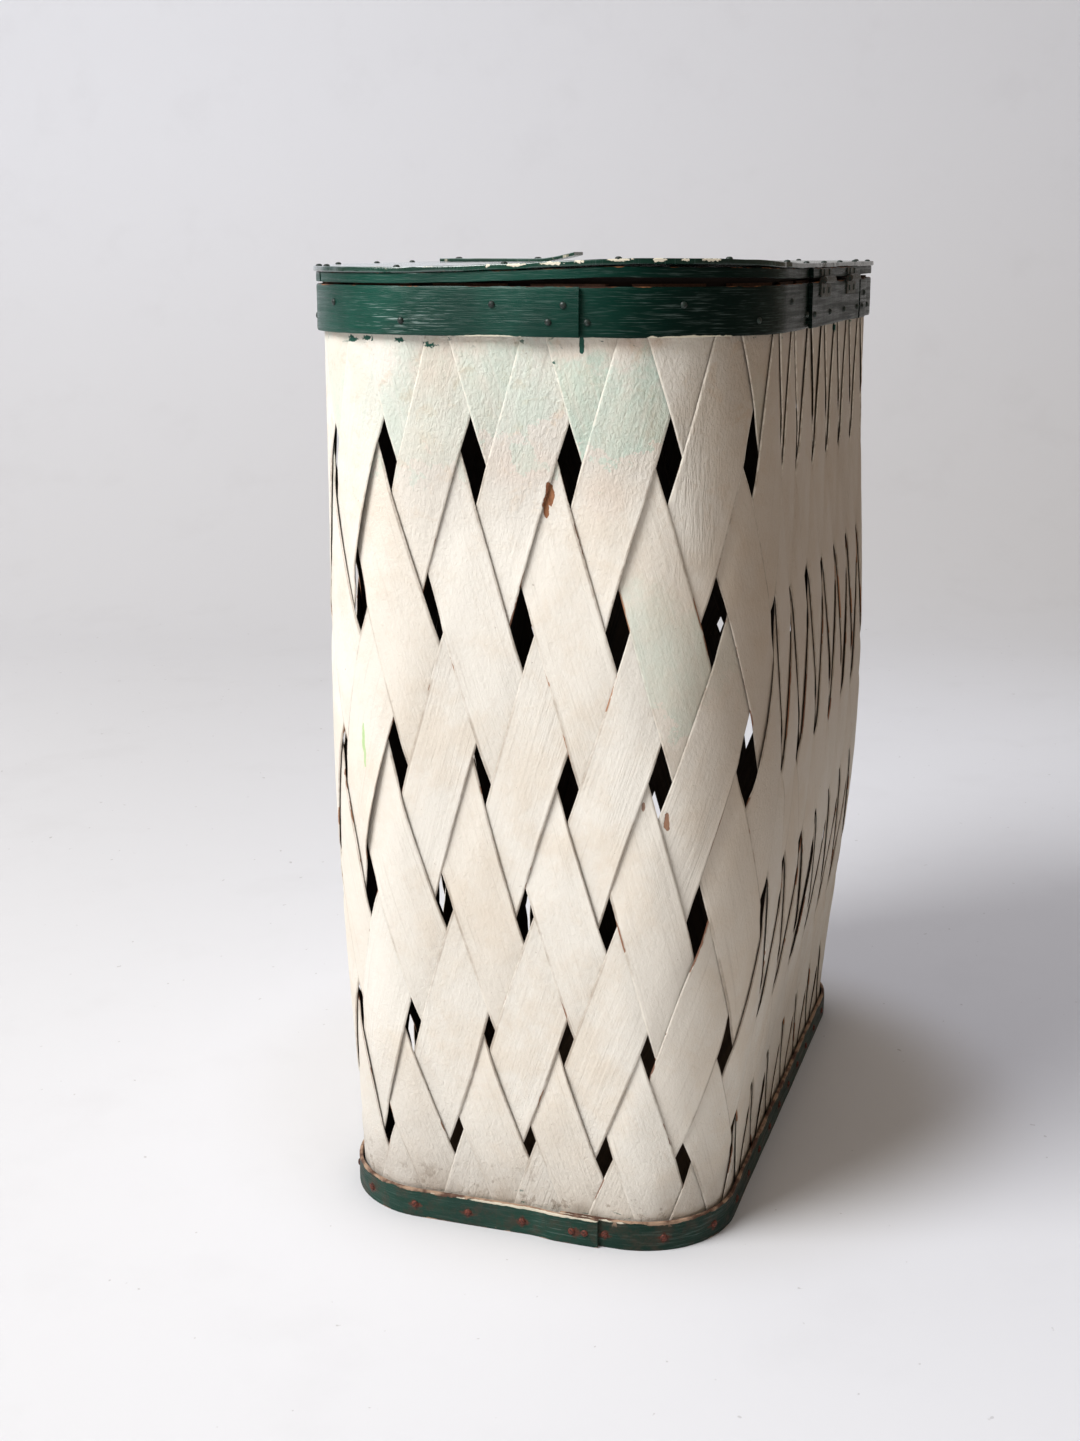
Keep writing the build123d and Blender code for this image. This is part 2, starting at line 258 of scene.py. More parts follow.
def bump(height, strength, distance, under=None):
    inputs = {"Height": height, "Strength": strength, "Distance": distance}
    if under:
        inputs["Normal"] = under
    return addNode("Bump", inputs).outputs[0]


def rgb(red, green, blue):
    # A colour given as it looks on screen, 0 to 255
    def linear(value):
        value /= 255
        return value / 12.92 if value <= 0.04045 else ((value + 0.055) / 1.055) ** 2.4
    return linear(red), linear(green), linear(blue), 1.0


def patchMask(kind, centre, reach, strength):
    # A ragged spot: strength inside, 0 outside. Its centre and reach are in millimetres.
    where = place()
    rough = addNode("TexNoise", {"Vector": where, "Scale": kind["grain"], "Detail": 4.0})
    shift = vectorMath("ADD", {0: rough.outputs["Color"], 1: (-0.5, -0.5, -0.5)})
    off = vectorMath("ADD", {0: where, 1: tuple(-value * mm for value in centre)})
    off = stretched(off, tuple(1 / (value * mm) for value in reach))
    off = vectorMath("MULTIPLY_ADD", {0: shift, 1: (kind["ragged"],) * 3, 2: off})
    size = vectorMath("LENGTH", {0: off}, "Value")
    return fade(size, 1.0, 1.0 - kind["soft"], 0.0, strength)


def patchesMask(look, patches):
    # patches: by kind, a list of (middle, reach, strength)
    share = 0.0
    for kind, spots in patches.items():
        for spot in spots:
            share = largest(share, patchMask(look[kind], *spot))
    return share


# Cream paint on the splints. Places and reaches are in millimetres; the near end is at x 270.
# Patches: middle, reach along x, y and z, strength. mintStrips: seed of the strip, then from
# and to what height it is tinted, and how strongly.
cream = {
    "paint": rgb(243, 239, 230), "warm": rgb(233, 221, 204), "grey": rgb(214, 209, 201),
    "peach": rgb(234, 212, 196), "edge": rgb(250, 243, 230), "wood": rgb(168, 116, 80),
    "darkWood": rgb(120, 72, 46), "rawTop": rgb(40, 22, 16), "dirtAndShade": rgb(120, 98, 76),
    "shade": rgb(150, 122, 94), "green": rgb(8, 84, 70), "mint": rgb(190, 223, 208),
    "lime": rgb(176, 216, 140), "stain": rgb(222, 200, 174),
    "roughness": (0.42, 0.16), "wornRoughness": 0.8, "specular": 0.4, "relief": (0.85, 0.0007),
    "openGrain": (14, 520, 1), "brushMarks": (5, 130, 1),
    "cloudy": {"grain": 16, "ragged": 1.5, "soft": 0.75},
    "small": {"grain": 150, "ragged": 1.6, "soft": 0.12},
    "smudge": {"grain": 330, "ragged": 3.0, "soft": 0.25},
    "mintStrips": [
        (43.25, 520, 584, 0.85), (64.22, 512, 582, 0.95), (62.49, 515, 592, 0.5),
        (41.52, 532, 592, 0.4), (60.76, 512, 580, 0.4), (39.79, 508, 590, 0.3),
        (59.03, 520, 590, 0.5), (38.06, 500, 590, 0.3), (57.3, 480, 590, 0.4),
        (64.22, 362, 444, 0.4), (1.73, 380, 420, 0.2), (67.68, 520, 575, 0.3),
        (50.17, 300, 380, 0.4), (24.22, 430, 520, 0.4), (84.98, 240, 330, 0.4),
    ],
    "peachPatches": {
        "cloudy": [
            ((270, -40, 572), (50, 24, 20), 0.5), ((270, 10, 515), (50, 30, 18), 0.3),
            ((270, 84, 590), (50, 22, 10), 0.6), ((270, 60, 500), (50, 24, 20), 0.25),
            ((40, -150, 480), (60, 30, 40), 0.5), ((-60, 150, 330), (60, 30, 40), 0.4),
        ],
    },
    "bareSpots": {
        "small": [
            ((270, 29.5, 500), (30, 2.8, 6.5), 1.0), ((270, 27, 491), (30, 2.0, 7), 1.0),
            ((268, 101, 300), (30, 2.0, 6), 0.9), ((264, 87, 309), (30, 1.3, 3.5), 0.8),
            ((250, 136, 405), (30, 1.1, 9), 0.85), ((250, 141, 387), (30, 1.1, 9), 0.85),
        ],
    },
    "greenSpots": {
        "small": [((272, 50, 588), (20, 1.7, 6), 1.0)],
        "smudge": [
            ((262, 0, 30), (20, 8, 1.5), 0.6), ((262, -101, 588), (20, 5, 2.2), 1.0),
            ((262, -88, 589), (20, 5, 1.8), 1.0), ((270, -64, 588.5), (20, 4, 1.6), 1.0),
            ((272, -44, 586), (20, 5, 2.0), 1.0), ((272, 33, 577), (20, 1.5, 1.2), 0.9),
            ((100, -150, 588), (9, 30, 2.4), 1.0), ((-40, 150, 587), (8, 30, 2.4), 1.0),
        ],
    },
    "limeSpots": {
        "small": [((250, -100, 336), (30, 1.3, 9), 0.8), ((250, -99, 325), (30, 1.0, 8), 0.7)],
    },
    "crackled": {
        "cloudy": [((262, 118, 520), (60, 24, 75), 1.0), ((60, -150, 300), (60, 40, 80), 0.8)],
    },
}


def woodColour(grain, light, dark, fineness=1.0):
    # Long streaks along the grain
    fine = streaky(grain, (6 * fineness, 420 * fineness, 1.0), 5.0, 0.6, 0.3)
    broad = streaky(grain, (2.0, 60.0, 1.0), 3.0, 0.5, 0.5)
    mix = plus(times(fine, 0.6), times(broad, 0.4))
    return mixColour(fade(mix, 0.36, 0.64), light, dark), fine


def mintShare(seed, up, where, blotch, brush):
    # Tint on single strips, with a ragged lower edge and a soft upper one
    level = plus(minus(up, 0.075), times(cloud(where, 38, 5.0, 0.7), 0.15))
    upper = plus(minus(up, 0.06), times(cloud(where, 30, 5.0, 0.7), 0.12))
    mint = 0.0
    for strip, low, high, strength in cream["mintStrips"]:
        own = calc("LESS_THAN", calc("ABSOLUTE", minus(seed, strip)), 0.2)
        tint = times(fade(level, low * mm, (low + 5) * mm),
                     fade(upper, (high + 8) * mm, (high - 22) * mm))
        mint = largest(mint, times(tint, own, strength))
    return times(mint, fade(blotch, 0.32, 0.62, 1.0, 0.5), fade(brush, 0.3, 0.6, 0.6, 1.0))


def grimeAndShadeShare(rim, up, where, blotch, large):
    # Darker towards the foot; dirt and painted shade along the strip edges below the top rows;
    # short hairlines and specks
    low = fade(plus(up, times(blotch, 0.05)), 0.085, 0.035)
    low = times(low, fade(blotch, 0.4, 0.62, 0.25, 0.65))
    # dirt and painted shade beside the strip edges, none near the top
    edgeDirtAndShade = times(fade(rim, 0.0022, 0.0008), fade(blotch, 0.38, 0.6, 0.1, 0.6))
    edgeDirtAndShade = times(edgeDirtAndShade, minus(1.0, fade(up, 0.5, 0.535)))
    hair = fade(streaky(where, (90, 90, 700), 3.0, 0.6, 1.6), 0.7, 0.72, 0.0, 0.3)
    hair = times(hair, fade(large, 0.42, 0.55))
    specks = fade(cloud(where, 210, 3.0, 0.7), 0.71, 0.76, 0.0, 0.45)
    smudges = fade(cloud(where, 75, 5.0, 0.72), 0.53, 0.64, 0.0, 0.6)
    smudges = times(smudges, fade(up, 0.06, 0.024))
    return largest(low, edgeDirtAndShade, hair, specks, smudges)


def creamPaint():
    material, shader = newMaterial("creamPaint")
    grain, edge, where = stored("grain"), stored("edge"), place()
    _, aside, up = axes(where)
    seed = axes(grain)["Z"]
    left, right, _ = axes(edge)
    rim = calc("MINIMUM", left, right)
    # brush marks and open grain run along the splint
    fine = streaky(grain, cream["openGrain"], 5.0, 0.62, 0.4)
    brush = streaky(grain, cream["brushMarks"], 4.0, 0.6, 0.6)
    blotch = cloud(where, 17, 5.0, 0.65)
    large = cloud(where, 5, 3.0, 0.5)
    tone = calc("FRACT", times(seed, 7.13))   # each strip has its own
    stains = fade(cloud(where, 55, 5.0, 0.72, 0.6), 0.52, 0.68, 0.0, 0.5)
    stains = times(stains, fade(up, 0.44, 0.56, 0.2, 1.0))
    # painted shade: the cream turns browner on the hinge side, less so low down
    paintedShade = times(fade(aside, 0.09, 0.15, 0.0, 0.6), fade(up, 0.1, 0.42, 0.1, 1.0))
    # painted highlight: lighter paint along the strip edges, broken up, and fainter lower down
    gaps = fade(cloud(where, 130, 3.0, 0.7), 0.36, 0.6, 0.15, 1.0)
    lit = fade(plus(rim, times(gaps, -0.0005)), 0.001, 0.0005)
    lit = times(lit, times(gaps, 0.65), fade(up, 0.4, 0.53, 0.3, 1.0))
    # green of the bands, brushed and dripped onto the splints
    smear = streaky(where, (90, 90, 220), 4.0, 0.6, 0.5)
    smear = times(largest(fade(up, 0.582, 0.5915), fade(up, 0.027, 0.0215)),
                  fade(smear, 0.64, 0.67))
    colour = layered(cream["paint"], cream, [
        (fade(blotch, 0.42, 0.66, 0.0, 0.6), "warm"),
        (fade(tone, 0.2, 1.0, 0.0, 0.3), "warm"),
        (fade(large, 0.5, 0.7, 0.0, 0.55), "grey"),
        (fade(fine, 0.54, 0.72, 0.0, 0.12), "dirtAndShade"),
        (patchesMask(cream, cream["peachPatches"]), "peach"),
        (stains, "stain"),
        (mintShare(seed, up, where, blotch, brush), "mint"),
        (paintedShade, "shade"),
        (grimeAndShadeShare(rim, up, where, blotch, large), "dirtAndShade"),
        (lit, "edge"),
        (largest(smear, patchesMask(cream, cream["greenSpots"])), "green"),
        (patchesMask(cream, cream["limeSpots"]), "lime"),
    ])
    # paint worn off the long edges, down to the wood, and off above the rim band
    reachIn = fade(streaky(grain, (22, 60, 1)), 0.53, 0.66, -0.0007, 0.0011)
    reachIn = minus(reachIn, fade(up, 0.42, 0.5, 0.0, 0.001))
    worn = fade(minus(rim, reachIn), 0.00012, -0.00012, 0.0, 0.9)
    worn = largest(worn, fade(up, 0.6145, 0.6165), patchesMask(cream, cream["bareSpots"]))
    wood, _ = woodColour(grain, cream["wood"], cream["darkWood"])
    wood = mixColour(fade(up, 0.6, 0.612, 0.0, 0.85), wood, cream["rawTop"])
    give(shader["Base Color"], mixColour(worn, colour, wood))
    smooth, brushed = cream["roughness"]
    rough = plus(smooth, times(brush, brushed))
    give(shader["Roughness"], largest(rough, times(worn, cream["wornRoughness"])))
    give(shader["Specular IOR Level"], cream["specular"])
    # the open grain shows more in some places
    crackled = patchesMask(cream, cream["crackled"])
    openness = fade(cloud(where, 7, 2.0, 0.5), 0.45, 0.65, 0.25, 1.0)
    waves = streaky(where, (420, 420, 46), 3.0, 0.5, 1.2)
    micro = cloud(stretched(where, (1, 1, 0.7)), 470, 4.0, 0.6, 0.4)
    relief = plus(times(fine, openness), times(brush, 0.6), times(waves, crackled, 2.2),
                  times(micro, fade(large, 0.4, 0.6, 0.6, 1.3)))
    relief = times(relief, fade(up, 0.49, 0.54, 1.0, 1.45))
    normal = bump(minus(relief, times(worn, 0.6)), *cream["relief"])
    give(shader["Normal"], bump(blotch, 0.4, 0.004, normal))
    return material


bareWood = {
    "inside": (rgb(66, 50, 37), rgb(35, 26, 20)), "hoop": (rgb(40, 22, 16), rgb(22, 12, 10)),
    "board": (rgb(108, 84, 60), rgb(74, 54, 38)), "roughness": 0.78,
}


def plainWood(name, tones, fineness=1.0):
    material, shader = newMaterial(name)
    colour, fine = woodColour(stored("grain"), *tones, fineness=fineness)
    stain = cloud(place(), 22, 3.0, 0.5)
    give(shader["Base Color"], mixColour(fade(stain, 0.5, 0.75, 0.0, 0.45), colour, tones[1]))
    give(shader["Roughness"], bareWood["roughness"])
    give(shader["Normal"], bump(fine, 0.5, 0.0006))
    return material


# Green oil paint. edges: how far wear reaches in from the upper edge, the lower edge and the
# end, in millimetres. shine and coat: on the lit side, then on the hinge side.
green = {
    "cream": rgb(232, 226, 206), "paintedSheen": rgb(158, 180, 176), "rust": rgb(92, 50, 38),
    "black": rgb(4, 18, 14), "grime": rgb(66, 56, 46), "coatRoughness": 0.18,
    "wornRoughness": 0.7, "nailHeight": 0.009,
    "fleck": {"grain": 420, "ragged": 2.4, "soft": 0.12},
    "stroke": {"grain": 150, "ragged": 1.5, "soft": 0.2},
    "glint": {"grain": 30, "ragged": 1.0, "soft": 0.9},
    "band": {
        "paint": rgb(8, 79, 65), "deep": rgb(4, 44, 36), "edges": (-0.05, -0.6, -2.0),
        "edgeNoise": 0.7, "hingeSideShade": 0.95, "grime": 0.0, "shine": (0.3, 0.06),
        "coat": (0.0, 0.0), "dust": 0.0, "raw": (rgb(146, 100, 68), rgb(60, 40, 32)),
        "paintedSheen": 0.15, "chips": 0.0, "roughness": (0.26, 0.42), "ridges": 0.9, "rusty": False,
        "glints": {
            "glint": [((272, -60, 602), (30, 52, 17), 0.65), ((262, 20, 604), (30, 60, 9), 0.2)],
        },
        "over": {
            "stroke": [
                ((272, -6, 591.2), (20, 26, 1.2), 1.0), ((258, 112, 591.4), (40, 26, 1.4), 1.0),
                ((272, 60, 591), (20, 9, 0.8), 0.9), ((60, -150, 591.3), (40, 20, 1.2), 0.9),
            ],
        },
    },
    "foot": {
        "paint": rgb(30, 76, 62), "deep": rgb(12, 44, 36), "edges": (1.4, 0.2, -1.0),
        "edgeNoise": 1.1, "hingeSideShade": 0.55, "grime": 0.65, "shine": (0.3, 0.2),
        "coat": (0.0, 0.0), "dust": 0.0, "raw": (rgb(172, 144, 122), rgb(92, 66, 54)),
        "paintedSheen": 0.25, "chips": 0.8, "roughness": (0.45, 0.65), "ridges": 0.8, "rusty": True,
        "glints": {},
        "over": {"stroke": [((249, 12, 19.4), (20, 62, 1.0), 0.85)]},
    },
    "lid": {
        "paint": rgb(10, 72, 58), "deep": rgb(5, 42, 35), "edges": (-0.5, -0.8, -2.0),
        "edgeNoise": 0.7, "hingeSideShade": 0.7, "grime": 0.0, "shine": (0.8, 0.3),
        "coat": (0.7, 0.1), "dust": 0.42, "raw": (rgb(222, 214, 192), rgb(150, 128, 100)),
        "paintedSheen": 0.1, "chips": 0.2, "roughness": (0.1, 0.2), "ridges": 0.4, "rusty": False,
        "glints": {},
        "over": {
            "fleck": [
                ((277, -5, 632), (3, 1.6, 1.4), 1.0), ((277, 12, 632), (3, 6, 1.0), 1.0),
                ((277, 33, 633), (3, 7, 1.0), 1.0), ((276, 50, 634), (3, 3, 1.2), 1.0),
                ((273, 72, 635), (4, 8, 1.1), 1.0), ((266, 94, 635), (4, 5, 1.1), 1.0),
                ((258, 108, 635), (3, 3, 1.1), 1.0), ((247, 121, 635), (6, 6, 1.1), 1.0),
                ((262, -80, 631), (5, 5, 0.8), 0.9), ((274, -42, 631), (3, 4, 0.8), 0.9),
                ((-270, 40, 632), (5, 12, 1.6), 1.0), ((-80, -152, 632), (14, 4, 1.6), 1.0),
            ],
        },
    },
}
footNails = {"first": 62.2, "spacing": 38.4}   # distances around the foot band, for their rust


def wornShare(grain, edge, where, look):
    uneven = fade(streaky(grain, (60, 120, 1), 4.0, 0.65), 0.3, 0.7, -1.0, 1.0)
    worn = 0.0
    for distance, reach in zip(axes(edge), look["edges"]):
        inward = {0: uneven, 1: look["edgeNoise"] * mm, 2: reach * mm}
        inward = addNode("Math", inward, operation="MULTIPLY_ADD").outputs[0]
        worn = largest(worn, fade(minus(distance, inward), 0.00012, -0.00012))
    top, bottom, _ = axes(edge)
    bite = fade(cloud(where, 110, 4.0, 0.65), 0.66, 0.69, 0.0, look["chips"])
    return largest(worn, times(bite, fade(calc("MINIMUM", top, bottom), 0.006, 0.001)))


def rustShare(grain, edge, where):
    # Rust has run from the nails, which stand at even distances
    half = footNails["spacing"] * mm / 2
    along = plus(axes(grain)["X"], half - footNails["first"] * mm)
    along = minus(half, calc("PINGPONG", along, half))
    up = calc("ABSOLUTE", minus(axes(edge)["Y"], green["nailHeight"]))
    reach = plus(along, times(up, 1.3), times(cloud(where, 300, 4.0, 0.7), 0.012))
    return fade(reach, 0.0128, 0.0088, 0.0, 0.85)


def greenPaint(name, look):
    # Glossy over wood, with brush ridges along the lath
    material, shader = newMaterial(name)
    grain, edge, where = stored("grain"), stored("edge"), place()
    aside = axes(where)["Y"]
    ridges = streaky(grain, (9, 330, 1), 5.0, 0.65, 0.4)
    streaks = streaky(grain, (55, 1300, 1), 4.0, 0.6, 0.2)
    broad = cloud(where, 12, 4.0, 0.55)
    grimy = fade(cloud(where, 60, 5.0, 0.7), 0.45, 0.65, 0.0, look["grime"])
    # painted sheen: lighter streaks along the brush marks; glint adds painted glints in the listed
    # patches
    paintedSheen = times(fade(streaks, 0.52, 0.7), fade(broad, 0.58, 0.4, 0.25, 1.0), look["paintedSheen"])
    glint = times(fade(streaks, 0.56, 0.62), patchesMask(green, look["glints"]))
    # dust on the upward faces, and painted sheen: lighter on the lit side, fading towards the hinge
    # side
    dust = times(fade(axes(place("Normal"))["Z"], 0.7, 0.9), fade(aside, -0.03, 0.1, 1.0, 0.3))
    dust = times(dust, fade(broad, 0.3, 0.6, 0.7 * look["dust"], 1.2 * look["dust"]))
    colour = mixColour(fade(broad, 0.35, 0.65, 0.2, 0.75), look["paint"], look["deep"])
    # painted shade: the paint darkens towards black on the hinge side
    colour = layered(colour, green, [
        (fade(aside, -0.01, 0.12, 0.0, look["hingeSideShade"]), "black"), (grimy, "grime"),
        (paintedSheen, "paintedSheen"), (glint, "paintedSheen"), (dust, "paintedSheen"),
    ])
    worn = wornShare(grain, edge, where, look)
    raw = mixColour(fade(cloud(where, 70, 3.0), 0.42, 0.6), *look["raw"])
    colour = mixColour(worn, colour, raw)
    if look["rusty"]:
        colour = mixColour(rustShare(grain, edge, where), colour, green["rust"])
    over = patchesMask(green, look["over"])
    give(shader["Base Color"], mixColour(over, colour, green["cream"]))
    rough = fade(ridges, 0.35, 0.65, *look["roughness"])
    rough = largest(rough, times(largest(worn, over), green["wornRoughness"]))
    give(shader["Roughness"], rough)
    give(shader["Specular IOR Level"], fade(aside, -0.03, 0.1, *look["shine"]))
    give(shader["Coat Weight"], fade(aside, -0.03, 0.1, *look["coat"]))
    give(shader["Coat Roughness"], green["coatRoughness"])
    relief = plus(times(ridges, 0.7), times(streaks, 0.45))
    normal = bump(relief, look["ridges"], 0.0009)
    normal = bump(cloud(where, 45, 3.0, 0.5), 0.35, 0.002, normal)
    give(shader["Normal"], bump(minus(over, worn), 0.5, 0.0004, normal))
    return material


metal = {
    "rust": (rgb(112, 52, 36), rgb(58, 30, 24)), "dark": (rgb(34, 52, 46), rgb(16, 24, 22)),
    "hinge": (rgb(46, 60, 56), rgb(72, 62, 54)), "roughnessSpan": 0.25,
}


def oldMetal(name, tones, roughness, metallic):
    material, shader = newMaterial(name)
    spots = cloud(place(), 700, 4.0, 0.6)
    give(shader["Base Color"], mixColour(fade(spots, 0.4, 0.62), *tones))
    give(shader["Metallic"], metallic)
    rough = fade(spots, 0.3, 0.7, roughness, roughness + metal["roughnessSpan"])
    give(shader["Roughness"], rough)
    give(shader["Normal"], bump(spots, 0.5, 0.0003))
    return material


materials = {
    "cream": creamPaint(),
    "inside": plainWood("bareSplint", bareWood["inside"]),
    "hoop": plainWood("darkHoop", bareWood["hoop"]),
    "board": plainWood("sawnBoard", bareWood["board"], 0.3),
    "band": greenPaint("greenBand", green["band"]),
    "foot": greenPaint("greenFoot", green["foot"]),
    "lid": greenPaint("greenLid", green["lid"]),
    "rust": oldMetal("rustyNail", metal["rust"], 0.6, 0.0),
    "dark": oldMetal("paintedNail", metal["dark"], 0.35, 0.0),
    "hinge": oldMetal("paintedHinge", metal["hinge"], 0.4, 0.3),
}
print("materials made")

# Splints. cup and edgeLift are in millimetres; slim and uneven are shares of the spacing.
splints = {
    "eachWay": 26, "width": 45.0, "footWidth": 42.5, "thickness": 1.2, "layer": 0.725,
    "lowestRow": 67.5, "topRowBelowRim": 2.0, "rowsAbove": 6, "rowGrowth": 0.175,
    "phase": 0.29, "footCrowding": 0.075, "rimCrowding": -0.04,
    "endAboveFloor": 1.0, "topAboveRim": 1.5, "stillAtEnds": 60.0, "slant": 1.05,
    "stationsPerRow": 14, "foldSharpness": 4.2, "uneven": 0.035, "slim": 0.012,
    "edgeLift": 0.75, "edgeCurl": 6, "cup": 0.5, "seedStep": 1.73, "leftSeed": 57.3,
}

# How far the four strips reach towards each hole of the near end, measured on the photo, from
# their middles, in shares of the spacing: right-leaning below and above, left-leaning below
# and above
holes = {
    (-4, 1): (0.35, 0.44, 0.45, 0.4), (-3, 2): (0.33, 0.44, 0.35, 0.41),
    (-2, 3): (0.38, 0.41, 0.39, 0.38), (-1, 4): (0.39, 0.41, 0.41, 0.35),
    (0, 5): (0.46, 0.31, 0.5, 0.27), (2, 7): (0.28, 0.5, 0.31, 0.48),
    (-4, 0): (0.3, 0.5, 0.42, 0.35), (-3, 1): (0.25, 0.45, 0.43, 0.44),
    (-2, 2): (0.32, 0.44, 0.3, 0.43), (-1, 3): (0.36, 0.41, 0.36, 0.37),
    (0, 4): (0.39, 0.42, 0.41, 0.28), (1, 5): (0.5, 0.28, 0.5, 0.26),
    (-3, 0): (0.24, 0.49, 0.33, 0.42), (-2, 1): (0.3, 0.45, 0.32, 0.52),
    (-1, 2): (0.36, 0.46, 0.27, 0.47), (0, 3): (0.33, 0.47, 0.32, 0.41),
    (1, 4): (0.37, 0.41, 0.4, 0.25), (3, 6): (0.3, 0.42, 0.3, 0.46),
    (-3, -1): (0.24, 0.5, 0.26, 0.46), (-2, 0): (0.28, 0.48, 0.34, 0.5),
    (-1, 1): (0.33, 0.49, 0.27, 0.52), (0, 2): (0.32, 0.48, 0.29, 0.51),
    (1, 3): (0.29, 0.45, 0.29, 0.43), (2, 4): (0.48, 0.27, 0.46, 0.29),
    (-2, -1): (0.33, 0.45, 0.27, 0.49), (-1, 0): (0.36, 0.48, 0.34, 0.52),
    (0, 1): (0.37, 0.47, 0.3, 0.51), (1, 2): (0.37, 0.37, 0.36, 0.52),
    (2, 3): (0.43, 0.31, 0.3, 0.46), (-2, -2): (0.4, 0.45, 0.26, 0.52),
    (-1, -1): (0.44, 0.47, 0.33, 0.49), (0, 0): (0.42, 0.46, 0.42, 0.5),
    (1, 1): (0.43, 0.41, 0.38, 0.47), (2, 2): (0.46, 0.33, 0.4, 0.52),
    (11, 14): (0.5, 0.54, 0.5, 0.54),
}
# Edges that stand off the weave: leans right, number, side, row, reach in rows, millimetres
liftedEdges = [
    (True, -4, 1, 4.55, 0.75, 2.2), (False, 2, -1, 4.4, 0.6, 1.6), (True, -3, 1, 2.5, 0.7, 2.2),
    (False, 1, -1, 2.6, 0.6, 2.2), (True, 0, 1, 3.5, 0.6, 1.8), (False, 5, 1, 3.0, 0.7, 2.6),
    (True, -1, 1, 4.5, 0.5, 1.3), (False, 4, -1, 4.5, 0.5, 1.4), (True, 1, 1, 4.5, 0.6, 1.6),
    (False, 3, -1, 2.5, 0.5, 1.4), (True, 2, -1, 2.2, 0.8, 1.6), (False, 1, -1, 0.6, 0.5, 1.2),
]

# Places across a splint, and its thickness there; paint stands up in a bead along the edges
acrossMarks = [
    (-1.0, 0.15), (-0.985, 0.7), (-0.95, 1.15), (-0.9, 1.12), (-0.84, 1.0), (-0.5, 1.0),
    (-0.17, 1.0), (0.17, 1.0), (0.5, 1.0), (0.84, 1.0), (0.9, 1.12), (0.95, 1.15),
    (0.985, 0.7), (1.0, 0.15),
]
rowRise = wall["height"] - splints["topRowBelowRim"] - splints["lowestRow"]


def rowHeight(row):
    share, growth = row / splints["rowsAbove"], splints["rowGrowth"]
    return splints["lowestRow"] + rowRise * share * (1 + growth * share) / (1 + growth)


def rowAt(z):
    growth = splints["rowGrowth"]
    reach = (z - splints["lowestRow"]) * (1 + growth) / rowRise
    return splints["rowsAbove"] * 2 * reach / (1 + math.sqrt(1 + 4 * growth * reach))


def weavePoint(rising, falling, out):
    z = rowHeight(falling - rising)
    turn = ((rising + falling) / 2 - splints["phase"]) / splints["eachWay"]
    step = splints["rimCrowding"] - splints["footCrowding"]
    crowding = splints["footCrowding"] + step * z / wall["height"]
    turn -= crowding * math.sin(4 * math.pi * turn) / (4 * math.pi)
    return wallPoint(turn, z, out)


def halfShare(row):
    z = min(wall["height"], max(0.0, rowHeight(row)))
    width = splints["footWidth"] + (splints["width"] - splints["footWidth"]) * z / wall["height"]
    return width * splints["eachWay"] / turnLength(wallSection(z)) / 2


def reachAt(lower, upper, side):
    # Reach of one edge at the hole between strips lower and upper; unmeasured holes vary a little
    count = splints["eachWay"]
    around = math.ceil((lower - count / 2 + 1) / count) * count
    key = (lower - around, upper - around)
    if key in holes:
        return holes[key][side] - splints["slim"]
    uneven = splints["uneven"] * wander(key[0] * 7.7, key[1] * 5.3, side * 9.1)
    return halfShare(key[1] - key[0]) - splints["slim"] + uneven


def edgeReach(number, leansRight, row, above):
    # Smooth line through the reaches at the holes that a strip edge passes
    spot = (number + row if leansRight else number - row) - 0.5
    first = math.floor(spot)
    t = spot - first
    near = []
    for other in range(first - 1, first + 3):
        if leansRight:
            near.append(reachAt(number, other, 0) if above else reachAt(number - 1, other, 1))
        else:
            near.append(reachAt(other, number, 2) if above else reachAt(other, number - 1, 3))
    a, b, c, d = near
    return b + 0.5 * t * (c - a + t * (2 * a - 5 * b + 4 * c - d + t * (3 * (b - c) + d - a)))


def stoodOff(number, leansRight, row):
    # How far the lower and the upper edge of a strip stand off the weave
    stood = [0.0, 0.0]
    for leaning, which, side, middle, reach, amount in liftedEdges:
        if leaning == leansRight and (which - number) % splints["eachWay"] == 0:
            stood[side > 0] += amount * math.exp(-((row - middle) / reach) ** 4 * 2)
    return stood


